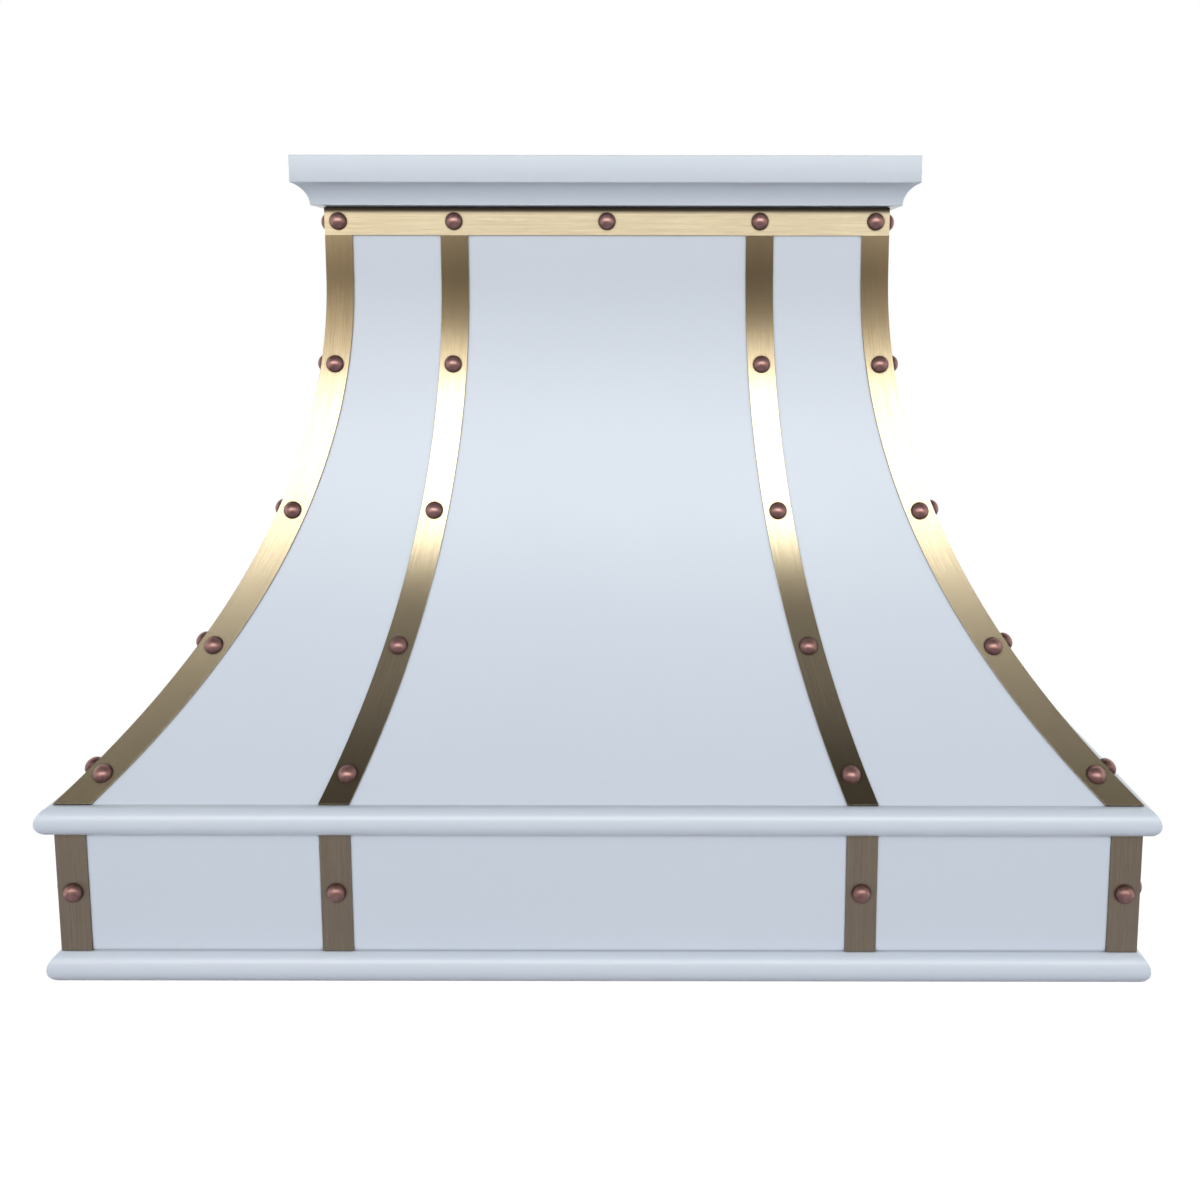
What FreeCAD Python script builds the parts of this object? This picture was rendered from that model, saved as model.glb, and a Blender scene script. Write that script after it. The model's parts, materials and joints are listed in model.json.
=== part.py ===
import FreeCAD, Part
import math
import os
from FreeCAD import Placement, Rotation, Vector

# Wall range hood: a bell-shaped canopy of painted sheet with brass straps, and the fan, filters, lights and
# controls it holds. Millimetres, +Z up. The wall is the plane y = 0 and the hood stands out from it along -Y.
# The origin is the middle of the bottom edge of the back.

# Canopy
HOOD_WIDTH = 1219.2
HOOD_DEPTH = 609.6
SWOOP = 247.1                     # how far the bell spreads between its neck and its base
NECK_STRAIGHT = 47.4              # upright part of the bell under the top band
BELL_HEIGHT = 626.5
APRON_HEIGHT = 135.0
LOWER_MOULDING_HEIGHT = 36.0      # flattened round along the bottom edge
LOWER_MOULDING_REACH = 14.0
UPPER_MOULDING_HEIGHT = 33.0      # half-round between apron and bell
SHEET = 1.5
BACK_SHEET = 1.5
APRON_HEM = 12.0

# Crown
CROWN_REVEAL = 1.0                # bare neck between the top band and the soffit
SOFFIT = 15.0
FASCIA_REACH = 33.5
COVE_HEIGHT = 26.0
FASCIA_HEIGHT = 32.0

# Straps and rivets
STRAP_WIDTH = 34.0
STRAP = 2.0
INNER_STRAP_TOP_SHARE = 0.5448    # middle of the inner strap against the half width of the neck
INNER_STRAP_BASE_SHARE = 0.4868   # and against the half width of the body
RIVET_RADIUS = 10.75
RIVET_DOME = 9.0
RIVET_SIDES = 8
RIVET_BANDS = (0.0, 0.62, 0.97)   # heights of the facet rings against the height of the dome
FIRST_RIVET = 111.5               # along the bell, from the end of the straight neck
RIVET_PITCH = 183.0
RIVET_PITCH_RATIO = 0.91          # each pitch down the bell against the one above it
RIVETS_PER_STRAP = 4

# Wall fixing
BOLT_RADIUS = 4.5
BOLT_INSET = 66.0                 # bolts from the sides of the neck
BOLT_SPACING_Z = 460.0
BOLT_HEIGHT = 530.0               # middle of the bolt pattern
RAIL_HEIGHT = 44.0
RAIL_THICKNESS = 4.0
RAIL_OVERHANG = 30.0
RAIL_SLOT_FIT = 1.0

# Duct and damper
PLATE = 2.0
PLATE_DROP = 50.0                 # top plate below the top of the crown
COLLAR_RADIUS = 99.5
COLLAR_WALL = 1.2
COLLAR_DROP = 6.0                 # top of the collar below the top of the crown
PLENUM_MARGIN = 8.0               # square duct outside the round collar
DAMPER_DROP = 110.0               # damper rods below the top plate
DAMPER_ROD = 2.5
DAMPER_ROD_SPACING = 11.0
DAMPER_FIT = 0.1
FLAP = 1.0
FLAP_GAP = 1.8
FLAP_SEAT = 0.4                   # closed flap above its stops
STOP_LENGTH = 160.0
STOP_WIDTH = 12.0
STOP_HEIGHT = 3.0
BEARING_WIDTH = 24.0
BEARING_HEIGHT = 10.0
BEARING_DEPTH = 7.0

# Fan
FAN_HEIGHT = 400.0
WHEEL_RADIUS = 100.0
WHEEL_WIDTH = 130.0
WHEEL_RIM = 16.0
WHEEL_PLATE = 3.0
BLADE = 1.2
BLADE_COUNT = 28
BLADE_LEAN = 28.0
BLADE_SHARE = 0.9                 # blade against the width of the rim
HUB_RADIUS = 15.0
HUB_LENGTH = 26.0
SHAFT_RADIUS = 6.0
SHAFT_FIT = 0.3
SCROLL_GAP = 14.0
SCROLL_STEP = 16.0                # growth of the scroll radius each quarter turn
SCROLL_SIDE_GAP = 6.0
SCROLL_SHEET = 1.2
SCROLL_OUTLET = 175.0             # top of the outlet above the shaft
INLET_RADIUS = 82.0
MOTOR_RADIUS = 55.0
MOTOR_LENGTH = 90.0
FAN_BRACKET_X = 45.0
FAN_BRACKET_WIDTH = 40.0
FAN_BRACKET_HEIGHT = 70.0

# Liner and filters
LINER_BOTTOM = 44.0
LINER_SHEET = 1.2
LINER_FLANGE = 26.0
FRONT_RAIL = 121.5
REAR_RAIL = 90.0
SIDE_RAIL = 66.6
DIVIDER = 15.0
FILTER_COUNT = 3
FILTER_CLEARANCE = 2.0
FILTER_THICKNESS = 22.0
FILTER_RAISE = 2.0                # bottom of the filter above the bottom of the liner
FILTER_SHEET = 1.0
FILTER_FLANGE = 14.0
FILTER_TAIL = 12.0                # filter behind its pivot
FILTER_SWING_GAP = 18.0           # pivot in front of the rear rail
PIVOT_RADIUS = 3.0
PIVOT_FIT = 0.15
REAR_FLANGE = 28.0                # width of the rear bar, which houses the pivot rod
BAFFLE_WIDTH = 20.0
BAFFLE_COUNT = 7
BAFFLE_GAP = 3.0                  # end of the baffles to the pivot rod
BAFFLE_OVERLAP = 4.0
BAFFLE_LIP = 10.5
HANDLE_WIDTH = 70.0
HANDLE_DROP = 20.0
HANDLE_STRIP = 12.0
HANDLE_SHEET = 2.0
HANDLE_BEND = 8.0
MAGNET_LENGTH = 24.0
MAGNET_DEPTH = 10.0
MAGNET_HEIGHT = 9.0
MAGNET_SPACING = 200.0
MAGNET_GAP = 0.4

# Lights and controls
LIGHT_LENGTH = 300.0
LIGHT_WIDTH = 30.0
LIGHT_FRAME = 7.0
LIGHT_FRAME_THICKNESS = 3.0
LENS = 3.0
MODULE_HEIGHT = 20.0
CONTROL_LENGTH = 190.0
CONTROL_WIDTH = 44.0
CONTROL_PLATE = 2.5
BUTTON_NAMES = ("light", "low", "high", "off")
BUTTON_COUNT = len(BUTTON_NAMES)
BUTTON_PITCH = 40.0
BUTTON_LENGTH = 28.0
BUTTON_WIDTH = 18.0
BUTTON_OUT = 5.0                  # button below its plate when it isn't pressed
BUTTON_TRAVEL = 3.0
BUTTON_FIT = 0.4
BUTTON_STEM = 8.0
BUTTON_STEM_REACH = 12.0
BUTTON_CORNER = 3.0
SWITCH_HEIGHT = 26.0
SWITCH_MARGIN = 8.0

# Terminal box
BOX_INSET = 56.0                  # case from the side of the neck
BOX_LENGTH = 120.0
BOX_DEPTH = 58.0
BOX_HEIGHT = 80.0
BOX_SHEET = 1.2
BOX_TOP = 720.0

# Directions
UP = Vector(0, 0, 1)
ALONG = Vector(1, 0, 0)

# Derived sizes
UPPER_MOULDING_REACH = UPPER_MOULDING_HEIGHT / 2
BODY_HALF = HOOD_WIDTH / 2 - UPPER_MOULDING_REACH
BODY_DEPTH = HOOD_DEPTH - UPPER_MOULDING_REACH
NECK_HALF = BODY_HALF - SWOOP
NECK_DEPTH = BODY_DEPTH - SWOOP
SWOOP_DROP = BELL_HEIGHT - NECK_STRAIGHT
SWOOP_RADIUS = (SWOOP_DROP ** 2 + SWOOP ** 2) / (2 * SWOOP)
Z_APRON = LOWER_MOULDING_HEIGHT
Z_UPPER = Z_APRON + APRON_HEIGHT
Z_BELL = Z_UPPER + UPPER_MOULDING_HEIGHT
Z_TANGENT = Z_BELL + SWOOP_DROP
Z_BAND = Z_BELL + BELL_HEIGHT
Z_CROWN = Z_BAND + STRAP_WIDTH + CROWN_REVEAL
Z_FASCIA = Z_CROWN + COVE_HEIGHT
Z_TOP = Z_FASCIA + FASCIA_HEIGHT
Z_PANEL_TOP = Z_TOP - SHEET
Z_PLATE = Z_TOP - PLATE_DROP
SPAN = 2 * HOOD_WIDTH
DUCT_Y = -NECK_DEPTH / 2
INNER_STRAP_TOP = INNER_STRAP_TOP_SHARE * NECK_HALF
INNER_STRAP_BASE = INNER_STRAP_BASE_SHARE * BODY_HALF
INNER_HALF = BODY_HALF - SHEET
INNER_FRONT = -(BODY_DEPTH - SHEET)
BOLT_X = NECK_HALF - BOLT_INSET
BOLT_COLUMNS = (-BOLT_X, BOLT_X)
BOLT_ROWS = (BOLT_HEIGHT - BOLT_SPACING_Z / 2, BOLT_HEIGHT + BOLT_SPACING_Z / 2)


# Basic shapes

def box(x0, x1, y0, y1, z0, z1):
    return Part.makeBox(x1 - x0, y1 - y0, z1 - z0, Vector(x0, y0, z0))


def cylinder(radius, start, direction, length):
    return Part.makeCylinder(radius, length, start, direction)


def face_of(edges):
    return Part.Face(Part.Wire(Part.__sortEdges__(edges)))


def polygon(points):
    return Part.Face(Part.makePolygon(points + points[:1]))


def mirrored(shape):
    return shape.mirror(Vector(0, 0, 0), Vector(1, 0, 0))


def group(shapes):
    """Separate solids kept side by side in one node."""
    return Part.Compound([solid for shape in shapes for solid in shape.Solids])


def channel_up(x0, x1, y0, y1, z0, height, wall, along):
    """Folded channel open at the top; along is the axis it runs on."""
    outer = box(x0, x1, y0, y1, z0, z0 + height)
    if along == "x":
        return outer.cut(box(x0, x1, y0 + wall, y1 - wall, z0 + wall, z0 + height))
    return outer.cut(box(x0 + wall, x1 - wall, y0, y1, z0 + wall, z0 + height))


# Profile of the bell: an upright neck running into one arc that spreads to the base

def bell_offset(skin, z):
    """How far the bell stands out from the neck at height z, for a surface lying skin outside the sheet."""
    drop = max(Z_TANGENT - z, 0.0)
    return SWOOP_RADIUS - math.sqrt((SWOOP_RADIUS - skin) ** 2 - drop ** 2)


def bell_slope(z):
    """Lean of the bell from upright at height z, in radians."""
    return math.asin(max(Z_TANGENT - z, 0.0) / SWOOP_RADIUS)


def on_front(offset, z):
    return Vector(0, -(NECK_DEPTH + offset), z)


def on_right(offset, z):
    return Vector(NECK_HALF + offset, 0, z)


def on_left(offset, z):
    return Vector(-(NECK_HALF + offset), 0, z)


def bell_edges(skin, z_low, z_high, place):
    def at(z):
        return place(bell_offset(skin, z), z)
    z_arc = min(z_high, Z_TANGENT)
    edges = [Part.Arc(at(z_low), at((z_low + z_arc) / 2), at(z_arc)).toShape()]
    if z_high > Z_TANGENT:
        edges.append(Part.makeLine(at(Z_TANGENT), at(z_high)))
    return edges


def bell_layer(inner, outer, z_low, z_high, place):
    """Profile of a layer of the bell between two skins."""
    edges = bell_edges(inner, z_low, z_high, place) + bell_edges(outer, z_low, z_high, place)
    for z in (z_low, z_high):
        edges.append(Part.makeLine(place(bell_offset(inner, z), z), place(bell_offset(outer, z), z)))
    return face_of(edges)


def front_layer(inner, outer, z_low, z_high):
    """Layer of the front of the bell, running well past both sides."""
    layer = bell_layer(inner, outer, z_low, z_high, on_front).extrude(Vector(SPAN, 0, 0))
    layer.translate(Vector(-SPAN / 2, 0, 0))
    return layer


def side_layer(inner, outer, z_low, z_high):
    """Layer of the right side of the bell, running from the wall well past the front."""
    return bell_layer(inner, outer, z_low, z_high, on_right).extrude(Vector(0, -SPAN, 0))


def front_view(skin, z_low, z_high):
    """Everything inside the bell's outline seen from the front."""
    edges = bell_edges(skin, z_low, z_high, on_left) + bell_edges(skin, z_low, z_high, on_right)
    for z in (z_low, z_high):
        edges.append(Part.makeLine(on_left(bell_offset(skin, z), z), on_right(bell_offset(skin, z), z)))
    return face_of(edges).extrude(Vector(0, -SPAN, 0))


def side_view(skin, z_low, z_high, y_back):
    """Everything inside the bell's outline seen from the side, up to y_back."""
    edges = bell_edges(skin, z_low, z_high, on_front)
    for z in (z_low, z_high):
        edges.append(Part.makeLine(on_front(bell_offset(skin, z), z), Vector(0, y_back, z)))
    edges.append(Part.makeLine(Vector(0, y_back, z_low), Vector(0, y_back, z_high)))
    outline = face_of(edges).extrude(Vector(SPAN, 0, 0))
    outline.translate(Vector(-SPAN / 2, 0, 0))
    return outline


# Canopy sheets

def front_panel():
    return front_layer(-SHEET, 0, Z_BELL, Z_PANEL_TOP).common(front_view(0, Z_BELL, Z_PANEL_TOP))


def right_panel():
    inside = side_view(-SHEET, Z_BELL, Z_PANEL_TOP, -BACK_SHEET)
    return side_layer(-SHEET, 0, Z_BELL, Z_PANEL_TOP).common(inside)


def back_panel():
    slab = box(-SPAN, SPAN, -BACK_SHEET, 0, 0, Z_TOP)
    bell = front_view(0, Z_BELL, Z_PANEL_TOP).common(slab)
    apron = box(-BODY_HALF, BODY_HALF, -BACK_SHEET, 0, 0, Z_BELL)
    panel = bell.fuse(apron).removeSplitter()
    for z in BOLT_ROWS:
        for x in BOLT_COLUMNS:
            panel = panel.cut(cylinder(BOLT_RADIUS, Vector(x, -BACK_SHEET, z), Vector(0, 1, 0), BACK_SHEET))
    return panel


def mounting_rails():
    """Stiffening bars inside the back panel, slotted from below for the wall bolts."""
    half = BOLT_X + RAIL_OVERHANG
    room = BOLT_RADIUS + RAIL_SLOT_FIT
    y_front = -(BACK_SHEET + RAIL_THICKNESS)
    rails = []
    for z in BOLT_ROWS:
        z_low = z - RAIL_HEIGHT / 2
        rail = box(-half, half, y_front, -BACK_SHEET, z_low, z_low + RAIL_HEIGHT)
        slots = [box(x - room, x + room, y_front, -BACK_SHEET, z_low, z + room) for x in BOLT_COLUMNS]
        rails.append(rail.cut(slots))
    return group(rails)


def apron_band():
    """Front and side plates, each with a hem turned in along the bottom edge."""
    front = box(-BODY_HALF, BODY_HALF, -BODY_DEPTH, INNER_FRONT, 0, Z_BELL)
    hem = box(-INNER_HALF + APRON_HEM, INNER_HALF - APRON_HEM, INNER_FRONT, INNER_FRONT + APRON_HEM, 0, SHEET)
    right = box(INNER_HALF, BODY_HALF, INNER_FRONT, -BACK_SHEET, 0, Z_BELL)
    right_hem = box(INNER_HALF - APRON_HEM, INNER_HALF, INNER_FRONT, -BACK_SHEET, 0, SHEET)
    right = right.fuse(right_hem).removeSplitter()
    return group([front.fuse(hem).removeSplitter(), right, mirrored(right)])


# Mouldings and crown: hollow lengths mitred at the two front corners

def hollow(face):
    return face.cut(face.makeOffset2D(-SHEET))


def mitred_lengths(profile, half, depth, reach):
    """Left, front and right lengths of a profile that is drawn on the front face of the body."""
    front = profile.copy()
    front.translate(Vector(-SPAN / 2, 0, 0))
    front = front.extrude(Vector(SPAN, 0, 0))
    corner, tip = Vector(half, -depth, 0), Vector(half + reach, -(depth + reach), 0)
    front_plan = polygon([Vector(-corner.x, corner.y, 0), corner, tip, Vector(-tip.x, tip.y, 0)])
    side_plan = polygon([Vector(corner.x, 0, 0), corner, tip, Vector(tip.x, 0, 0)])
    side = profile.copy()
    side.translate(Vector(0, depth, 0))
    side.rotate(Vector(0, 0, 0), Vector(0, 0, 1), 90)
    side.translate(Vector(half, 0, 0))
    side = side.extrude(Vector(0, -SPAN, 0))
    front = front.common(front_plan.extrude(Vector(0, 0, SPAN)))
    side = side.common(side_plan.extrude(Vector(0, 0, SPAN)))
    return group([front, side, mirrored(side)])


def round_moulding(z_low, height, reach):
    """Arc against the body that stands out by its reach at half its height."""
    y = -BODY_DEPTH
    top, low = Vector(0, y, z_low + height), Vector(0, y, z_low)
    nose = Vector(0, y - reach, z_low + height / 2)
    face = face_of([Part.Arc(low, nose, top).toShape(), Part.makeLine(top, low)])
    return mitred_lengths(hollow(face), BODY_HALF, BODY_DEPTH, height)


def crown_moulding():
    """Soffit, lip, cove and fascia; the cove leaves the lip upright and meets the fascia at an angle."""
    run = FASCIA_REACH - SOFFIT
    cove_radius = (run ** 2 + COVE_HEIGHT ** 2) / (2 * run)
    half_turn = math.asin(COVE_HEIGHT / cove_radius) / 2
    cove_middle = on_front(SOFFIT + cove_radius * (1 - math.cos(half_turn)),
                           Z_CROWN + cove_radius * math.sin(half_turn))
    corners = [on_front(0, Z_TOP), on_front(0, Z_CROWN), on_front(SOFFIT, Z_CROWN)]
    fascia_low, fascia_top = on_front(FASCIA_REACH, Z_FASCIA), on_front(FASCIA_REACH, Z_TOP)
    edges = [Part.makeLine(start, end) for start, end in zip(corners, corners[1:])]
    edges.append(Part.Arc(corners[-1], cove_middle, fascia_low).toShape())
    edges.append(Part.makeLine(fascia_low, fascia_top))
    edges.append(Part.makeLine(fascia_top, corners[0]))
    return mitred_lengths(hollow(face_of(edges)), NECK_HALF, NECK_DEPTH, 2 * FASCIA_REACH)


# Brass straps

def slanted_width(z):
    """Width of a corner strap across the hood: the strap keeps its own width along the spreading edge."""
    return STRAP_WIDTH * math.sqrt(1 + math.sin(bell_slope(z)) ** 2)


def strap_curve(across, place):
    """Smooth edge of a strap; across gives its distance from the neck line at each height."""
    steps = 8
    heights = [Z_BELL + (Z_BAND - Z_BELL) * step / steps for step in range(steps + 1)]
    curve = Part.BSplineCurve()
    curve.interpolate([place(across(z), z) for z in heights])
    return curve.toShape()


def corner_inner_edge(z):
    return bell_offset(0, z) + STRAP - slanted_width(z)


def inner_strap_middle(z):
    spread = (INNER_STRAP_BASE - INNER_STRAP_TOP) / SWOOP
    return INNER_STRAP_TOP + spread * bell_offset(0, z)


def between(first, second):
    """Face between two edges that run from the base to the band."""
    low = Part.makeLine(first[0].Vertexes[0].Point, second[0].Vertexes[0].Point)
    high = Part.makeLine(first[-1].Vertexes[-1].Point, second[-1].Vertexes[-1].Point)
    return face_of(first + second + [low, high])


def corner_strap():
    outline = between(bell_edges(STRAP, Z_BELL, Z_BAND, on_right), [strap_curve(corner_inner_edge, on_right)])
    return front_layer(0, STRAP, Z_BELL, Z_BAND).common(outline.extrude(Vector(0, -SPAN, 0)))


def inner_strap():
    def place(x, z):
        return Vector(x, 0, z)

    def edge(side):
        return [strap_curve(lambda z: inner_strap_middle(z) + side * STRAP_WIDTH / 2, place)]
    outline = between(edge(-1), edge(1))
    return front_layer(0, STRAP, Z_BELL, Z_BAND).common(outline.extrude(Vector(0, -SPAN, 0)))


def side_straps():
    """Strap behind the front corner and strap along the wall, on the right side."""
    layer = side_layer(0, STRAP, Z_BELL, Z_BAND)
    rear_edge = strap_curve(lambda z: bell_offset(0, z) - slanted_width(z), on_front)
    outline = between(bell_edges(0, Z_BELL, Z_BAND, on_front), [rear_edge])
    front = layer.common(outline.extrude(Vector(SPAN, 0, 0)))
    rear = layer.common(box(0, SPAN, -STRAP_WIDTH, 0, 0, Z_TOP))
    return group([front, rear])


def top_band():
    outer = box(-NECK_HALF - STRAP, NECK_HALF + STRAP, -NECK_DEPTH - STRAP, 0, Z_BAND, Z_BAND + STRAP_WIDTH)
    return outer.cut(box(-NECK_HALF, NECK_HALF, -NECK_DEPTH, 0, Z_BAND, Z_BAND + STRAP_WIDTH))


def corner_middle_x():
    return BODY_HALF + STRAP - STRAP_WIDTH / 2


def apron_straps():
    pieces = []
    for middle in (INNER_STRAP_BASE, corner_middle_x()):
        strap = box(middle - STRAP_WIDTH / 2, middle + STRAP_WIDTH / 2,
                    -BODY_DEPTH - STRAP, -BODY_DEPTH, Z_APRON, Z_UPPER)
        pieces += [strap, mirrored(strap)]
    for y in (-BODY_DEPTH, -STRAP_WIDTH):
        strap = box(BODY_HALF, BODY_HALF + STRAP, y, y + STRAP_WIDTH, Z_APRON, Z_UPPER)
        pieces += [strap, mirrored(strap)]
    return group(pieces)


# Rivets

def ring_points(radius, sides, height):
    turns = [2 * math.pi * side / sides for side in range(sides)]
    return [Vector(radius * math.cos(turn), radius * math.sin(turn), height) for turn in turns]


def rivet(point, normal):
    """Domed head with its flat base at point, faceted like a hand-set stud."""
    sphere = (RIVET_RADIUS ** 2 + RIVET_DOME ** 2) / (2 * RIVET_DOME)
    bands = []
    for share in RIVET_BANDS:
        height = share * RIVET_DOME
        radius = math.sqrt(sphere ** 2 - (sphere - RIVET_DOME + height) ** 2)
        bands.append(ring_points(radius, RIVET_SIDES, height))
    faces = [polygon(bands[0]), polygon(bands[-1])]
    for low, high in zip(bands, bands[1:]):
        for side in range(RIVET_SIDES):
            following = (side + 1) % RIVET_SIDES
            faces.append(polygon([low[side], low[following], high[following], high[side]]))
    head = Part.makeSolid(Part.makeShell(faces))
    head.Placement = Placement(point, Rotation(Vector(0, 0, 1), normal))
    return head


def bell_rivet_heights():
    arc, pitch = FIRST_RIVET, RIVET_PITCH
    for _ in range(RIVETS_PER_STRAP):
        yield Z_TANGENT - SWOOP_RADIUS * math.sin(arc / SWOOP_RADIUS)
        arc += pitch
        pitch *= RIVET_PITCH_RATIO


def bell_seat(z):
    """Offset, height and lean of a rivet base that rests on the hollow face of a strap at height z."""
    lean = bell_slope(z)
    seat = STRAP + RIVET_RADIUS ** 2 / (SWOOP_RADIUS - STRAP)
    return bell_offset(0, z) + seat * math.cos(lean), z + seat * math.sin(lean), lean


def rivets_front():
    heads = []
    forward = Vector(0, -1, 0)
    z_band = Z_BAND + STRAP_WIDTH / 2
    corner_top = NECK_HALF + STRAP - STRAP_WIDTH / 2
    for x in (-corner_top, -INNER_STRAP_TOP, 0, INNER_STRAP_TOP, corner_top):
        heads.append(rivet(Vector(x, -NECK_DEPTH - STRAP, z_band), forward))
    for height in bell_rivet_heights():
        offset, z, lean = bell_seat(height)
        corner = NECK_HALF + bell_offset(0, height) + STRAP - slanted_width(height) / 2
        for x in (corner, inner_strap_middle(height)):
            for side in (-1, 1):
                normal = Vector(0, -math.cos(lean), math.sin(lean))
                heads.append(rivet(Vector(side * x, on_front(offset, z).y, z), normal))
    for x in (corner_middle_x(), INNER_STRAP_BASE):
        for side in (-1, 1):
            heads.append(rivet(Vector(side * x, -BODY_DEPTH - STRAP, (Z_APRON + Z_UPPER) / 2), forward))
    return group(heads)


def rivets_right():
    heads = []
    outward = Vector(1, 0, 0)
    rear = -STRAP_WIDTH / 2
    for y in (-NECK_DEPTH + STRAP_WIDTH / 2, rear):
        heads.append(rivet(Vector(NECK_HALF + STRAP, y, Z_BAND + STRAP_WIDTH / 2), outward))
    for height in bell_rivet_heights():
        offset, z, lean = bell_seat(height)
        front = on_front(bell_offset(0, height) - slanted_width(height) / 2, z).y
        for y in (front, rear):
            normal = Vector(math.cos(lean), 0, math.sin(lean))
            heads.append(rivet(Vector(NECK_HALF + offset, y, z), normal))
    for y in (-BODY_DEPTH + STRAP_WIDTH / 2, rear):
        heads.append(rivet(Vector(BODY_HALF + STRAP, y, (Z_APRON + Z_UPPER) / 2), outward))
    return group(heads)


# Top plate, duct collar and the damper in the square duct under them

SCROLL_FIRST = WHEEL_RADIUS + SCROLL_GAP
SCROLL_LAST = SCROLL_FIRST + 2 * SCROLL_STEP
FAN_Y = DUCT_Y - SCROLL_LAST / 2
SCROLL_HALF = WHEEL_WIDTH / 2 + SCROLL_SIDE_GAP
FAN_AXIS = Vector(0, FAN_Y, FAN_HEIGHT)
SCROLL_REAR = FAN_Y + SCROLL_STEP / 2 + SCROLL_LAST
SCROLL_FRONT = FAN_Y - SCROLL_STEP / 2
Z_OUTLET = FAN_HEIGHT + SCROLL_OUTLET
Z_COLLAR = Z_PLATE + PLATE
COLLAR_LENGTH = Z_TOP - COLLAR_DROP - Z_COLLAR
COLLAR_BORE = COLLAR_RADIUS - COLLAR_WALL
PLENUM_HALF = COLLAR_RADIUS + PLENUM_MARGIN
PLENUM_ROOM = PLENUM_HALF - SCROLL_SHEET
Z_DAMPER = Z_PLATE - DAMPER_DROP


def at_duct(z):
    return Vector(0, DUCT_Y, z)


def duct_box(half_x, half_y, z0, z1):
    return box(-half_x, half_x, DUCT_Y - half_y, DUCT_Y + half_y, z0, z1)


def top_plate():
    half, y_front = NECK_HALF - SHEET, -(NECK_DEPTH - SHEET)
    plate = box(-half, half, y_front, -BACK_SHEET, Z_PLATE, Z_COLLAR)
    return plate.cut(cylinder(COLLAR_BORE, at_duct(Z_PLATE), UP, PLATE))


def duct_collar():
    """Round collar standing on the top plate, for a duct that slides over it."""
    outside = cylinder(COLLAR_RADIUS, at_duct(Z_COLLAR), UP, COLLAR_LENGTH)
    return outside.cut(cylinder(COLLAR_BORE, at_duct(Z_COLLAR), UP, COLLAR_LENGTH))


def plenum_duct():
    """Square duct from the scroll outlet up to the top plate."""
    floor = Z_OUTLET + SCROLL_SHEET
    shell = duct_box(PLENUM_HALF, PLENUM_HALF, Z_OUTLET, Z_PLATE)
    inside = duct_box(PLENUM_ROOM, PLENUM_ROOM, floor, Z_PLATE)
    outlet = box(-SCROLL_HALF, SCROLL_HALF, SCROLL_FRONT, SCROLL_REAR, Z_OUTLET, floor)
    return shell.cut([inside, outlet])


def damper_axes():
    return DUCT_Y - DAMPER_ROD_SPACING / 2, DUCT_Y + DAMPER_ROD_SPACING / 2


def damper_flap(y_axis, outward):
    """Flap on its rod, notched at both bearings; outward is the side of the rod it lies on."""
    half = PLENUM_ROOM - FLAP_GAP
    inside = PLENUM_ROOM - BEARING_DEPTH - FLAP_GAP
    y_edge = DUCT_Y + outward * half
    y_notch = DUCT_Y + outward * (BEARING_WIDTH / 2 + FLAP_GAP)
    z0, z1 = Z_DAMPER - FLAP / 2, Z_DAMPER + FLAP / 2
    wide = box(-half, half, min(y_notch, y_edge), max(y_notch, y_edge), z0, z1)
    narrow = box(-inside, inside, min(y_axis, y_notch), max(y_axis, y_notch), z0, z1)
    reach = PLENUM_ROOM - DAMPER_FIT
    rod = cylinder(DAMPER_ROD, Vector(-reach, y_axis, Z_DAMPER), ALONG, 2 * reach)
    return wide.fuse([narrow, rod]).removeSplitter()


def damper_bearings():
    """Block at each end of the two damper rods, on the wall of the duct."""
    room = DAMPER_ROD + DAMPER_FIT
    half, rise = BEARING_WIDTH / 2, BEARING_HEIGHT / 2
    block = box(PLENUM_ROOM - BEARING_DEPTH, PLENUM_ROOM, DUCT_Y - half, DUCT_Y + half,
                Z_DAMPER - rise, Z_DAMPER + rise)
    for y in damper_axes():
        block = block.cut(box(0, SPAN, y - room, y + room, Z_DAMPER - room, Z_DAMPER + room))
    return group([block, mirrored(block)])


def damper_stops():
    """Ledges on the front and rear walls of the duct that the closed flaps lie on."""
    z_top = Z_DAMPER - FLAP / 2 - FLAP_SEAT
    half, y_front, y_rear = STOP_LENGTH / 2, DUCT_Y - PLENUM_ROOM, DUCT_Y + PLENUM_ROOM
    return group([box(-half, half, y_front, y_front + STOP_WIDTH, z_top - STOP_HEIGHT, z_top),
                  box(-half, half, y_rear - STOP_WIDTH, y_rear, z_top - STOP_HEIGHT, z_top)])


# Fan: a wheel open on the left, in a scroll that blows upwards, with its motor on the right

def scroll_arcs():
    """Centre, radius and starting angle of the three quarter arcs, each wider than the one before."""
    shift, radius = SCROLL_STEP / 2, SCROLL_FIRST
    for start, dy, dz in ((90, -shift, -shift), (180, shift, -shift), (270, shift, shift)):
        yield FAN_AXIS + Vector(0, dy, dz), radius, start
        radius += SCROLL_STEP


def round_fan(centre, radius, angle):
    turn = math.radians(angle)
    return centre + Vector(0, radius * math.cos(turn), radius * math.sin(turn))


def scroll_face():
    """Inside of the scroll seen from the side: the quarter arcs, then the outlet."""
    edges = []
    for centre, radius, start in scroll_arcs():
        points = [round_fan(centre, radius, start + turn) for turn in (0, 45, 90)]
        edges.append(Part.Arc(*points).toShape())
    cutoff, rear = edges[0].Vertexes[0].Point, edges[-1].Vertexes[-1].Point
    outlet = [rear, Vector(0, rear.y, Z_OUTLET), Vector(0, cutoff.y, Z_OUTLET), cutoff]
    edges += [Part.makeLine(start, end) for start, end in zip(outlet, outlet[1:])]
    return face_of(edges)


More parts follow.
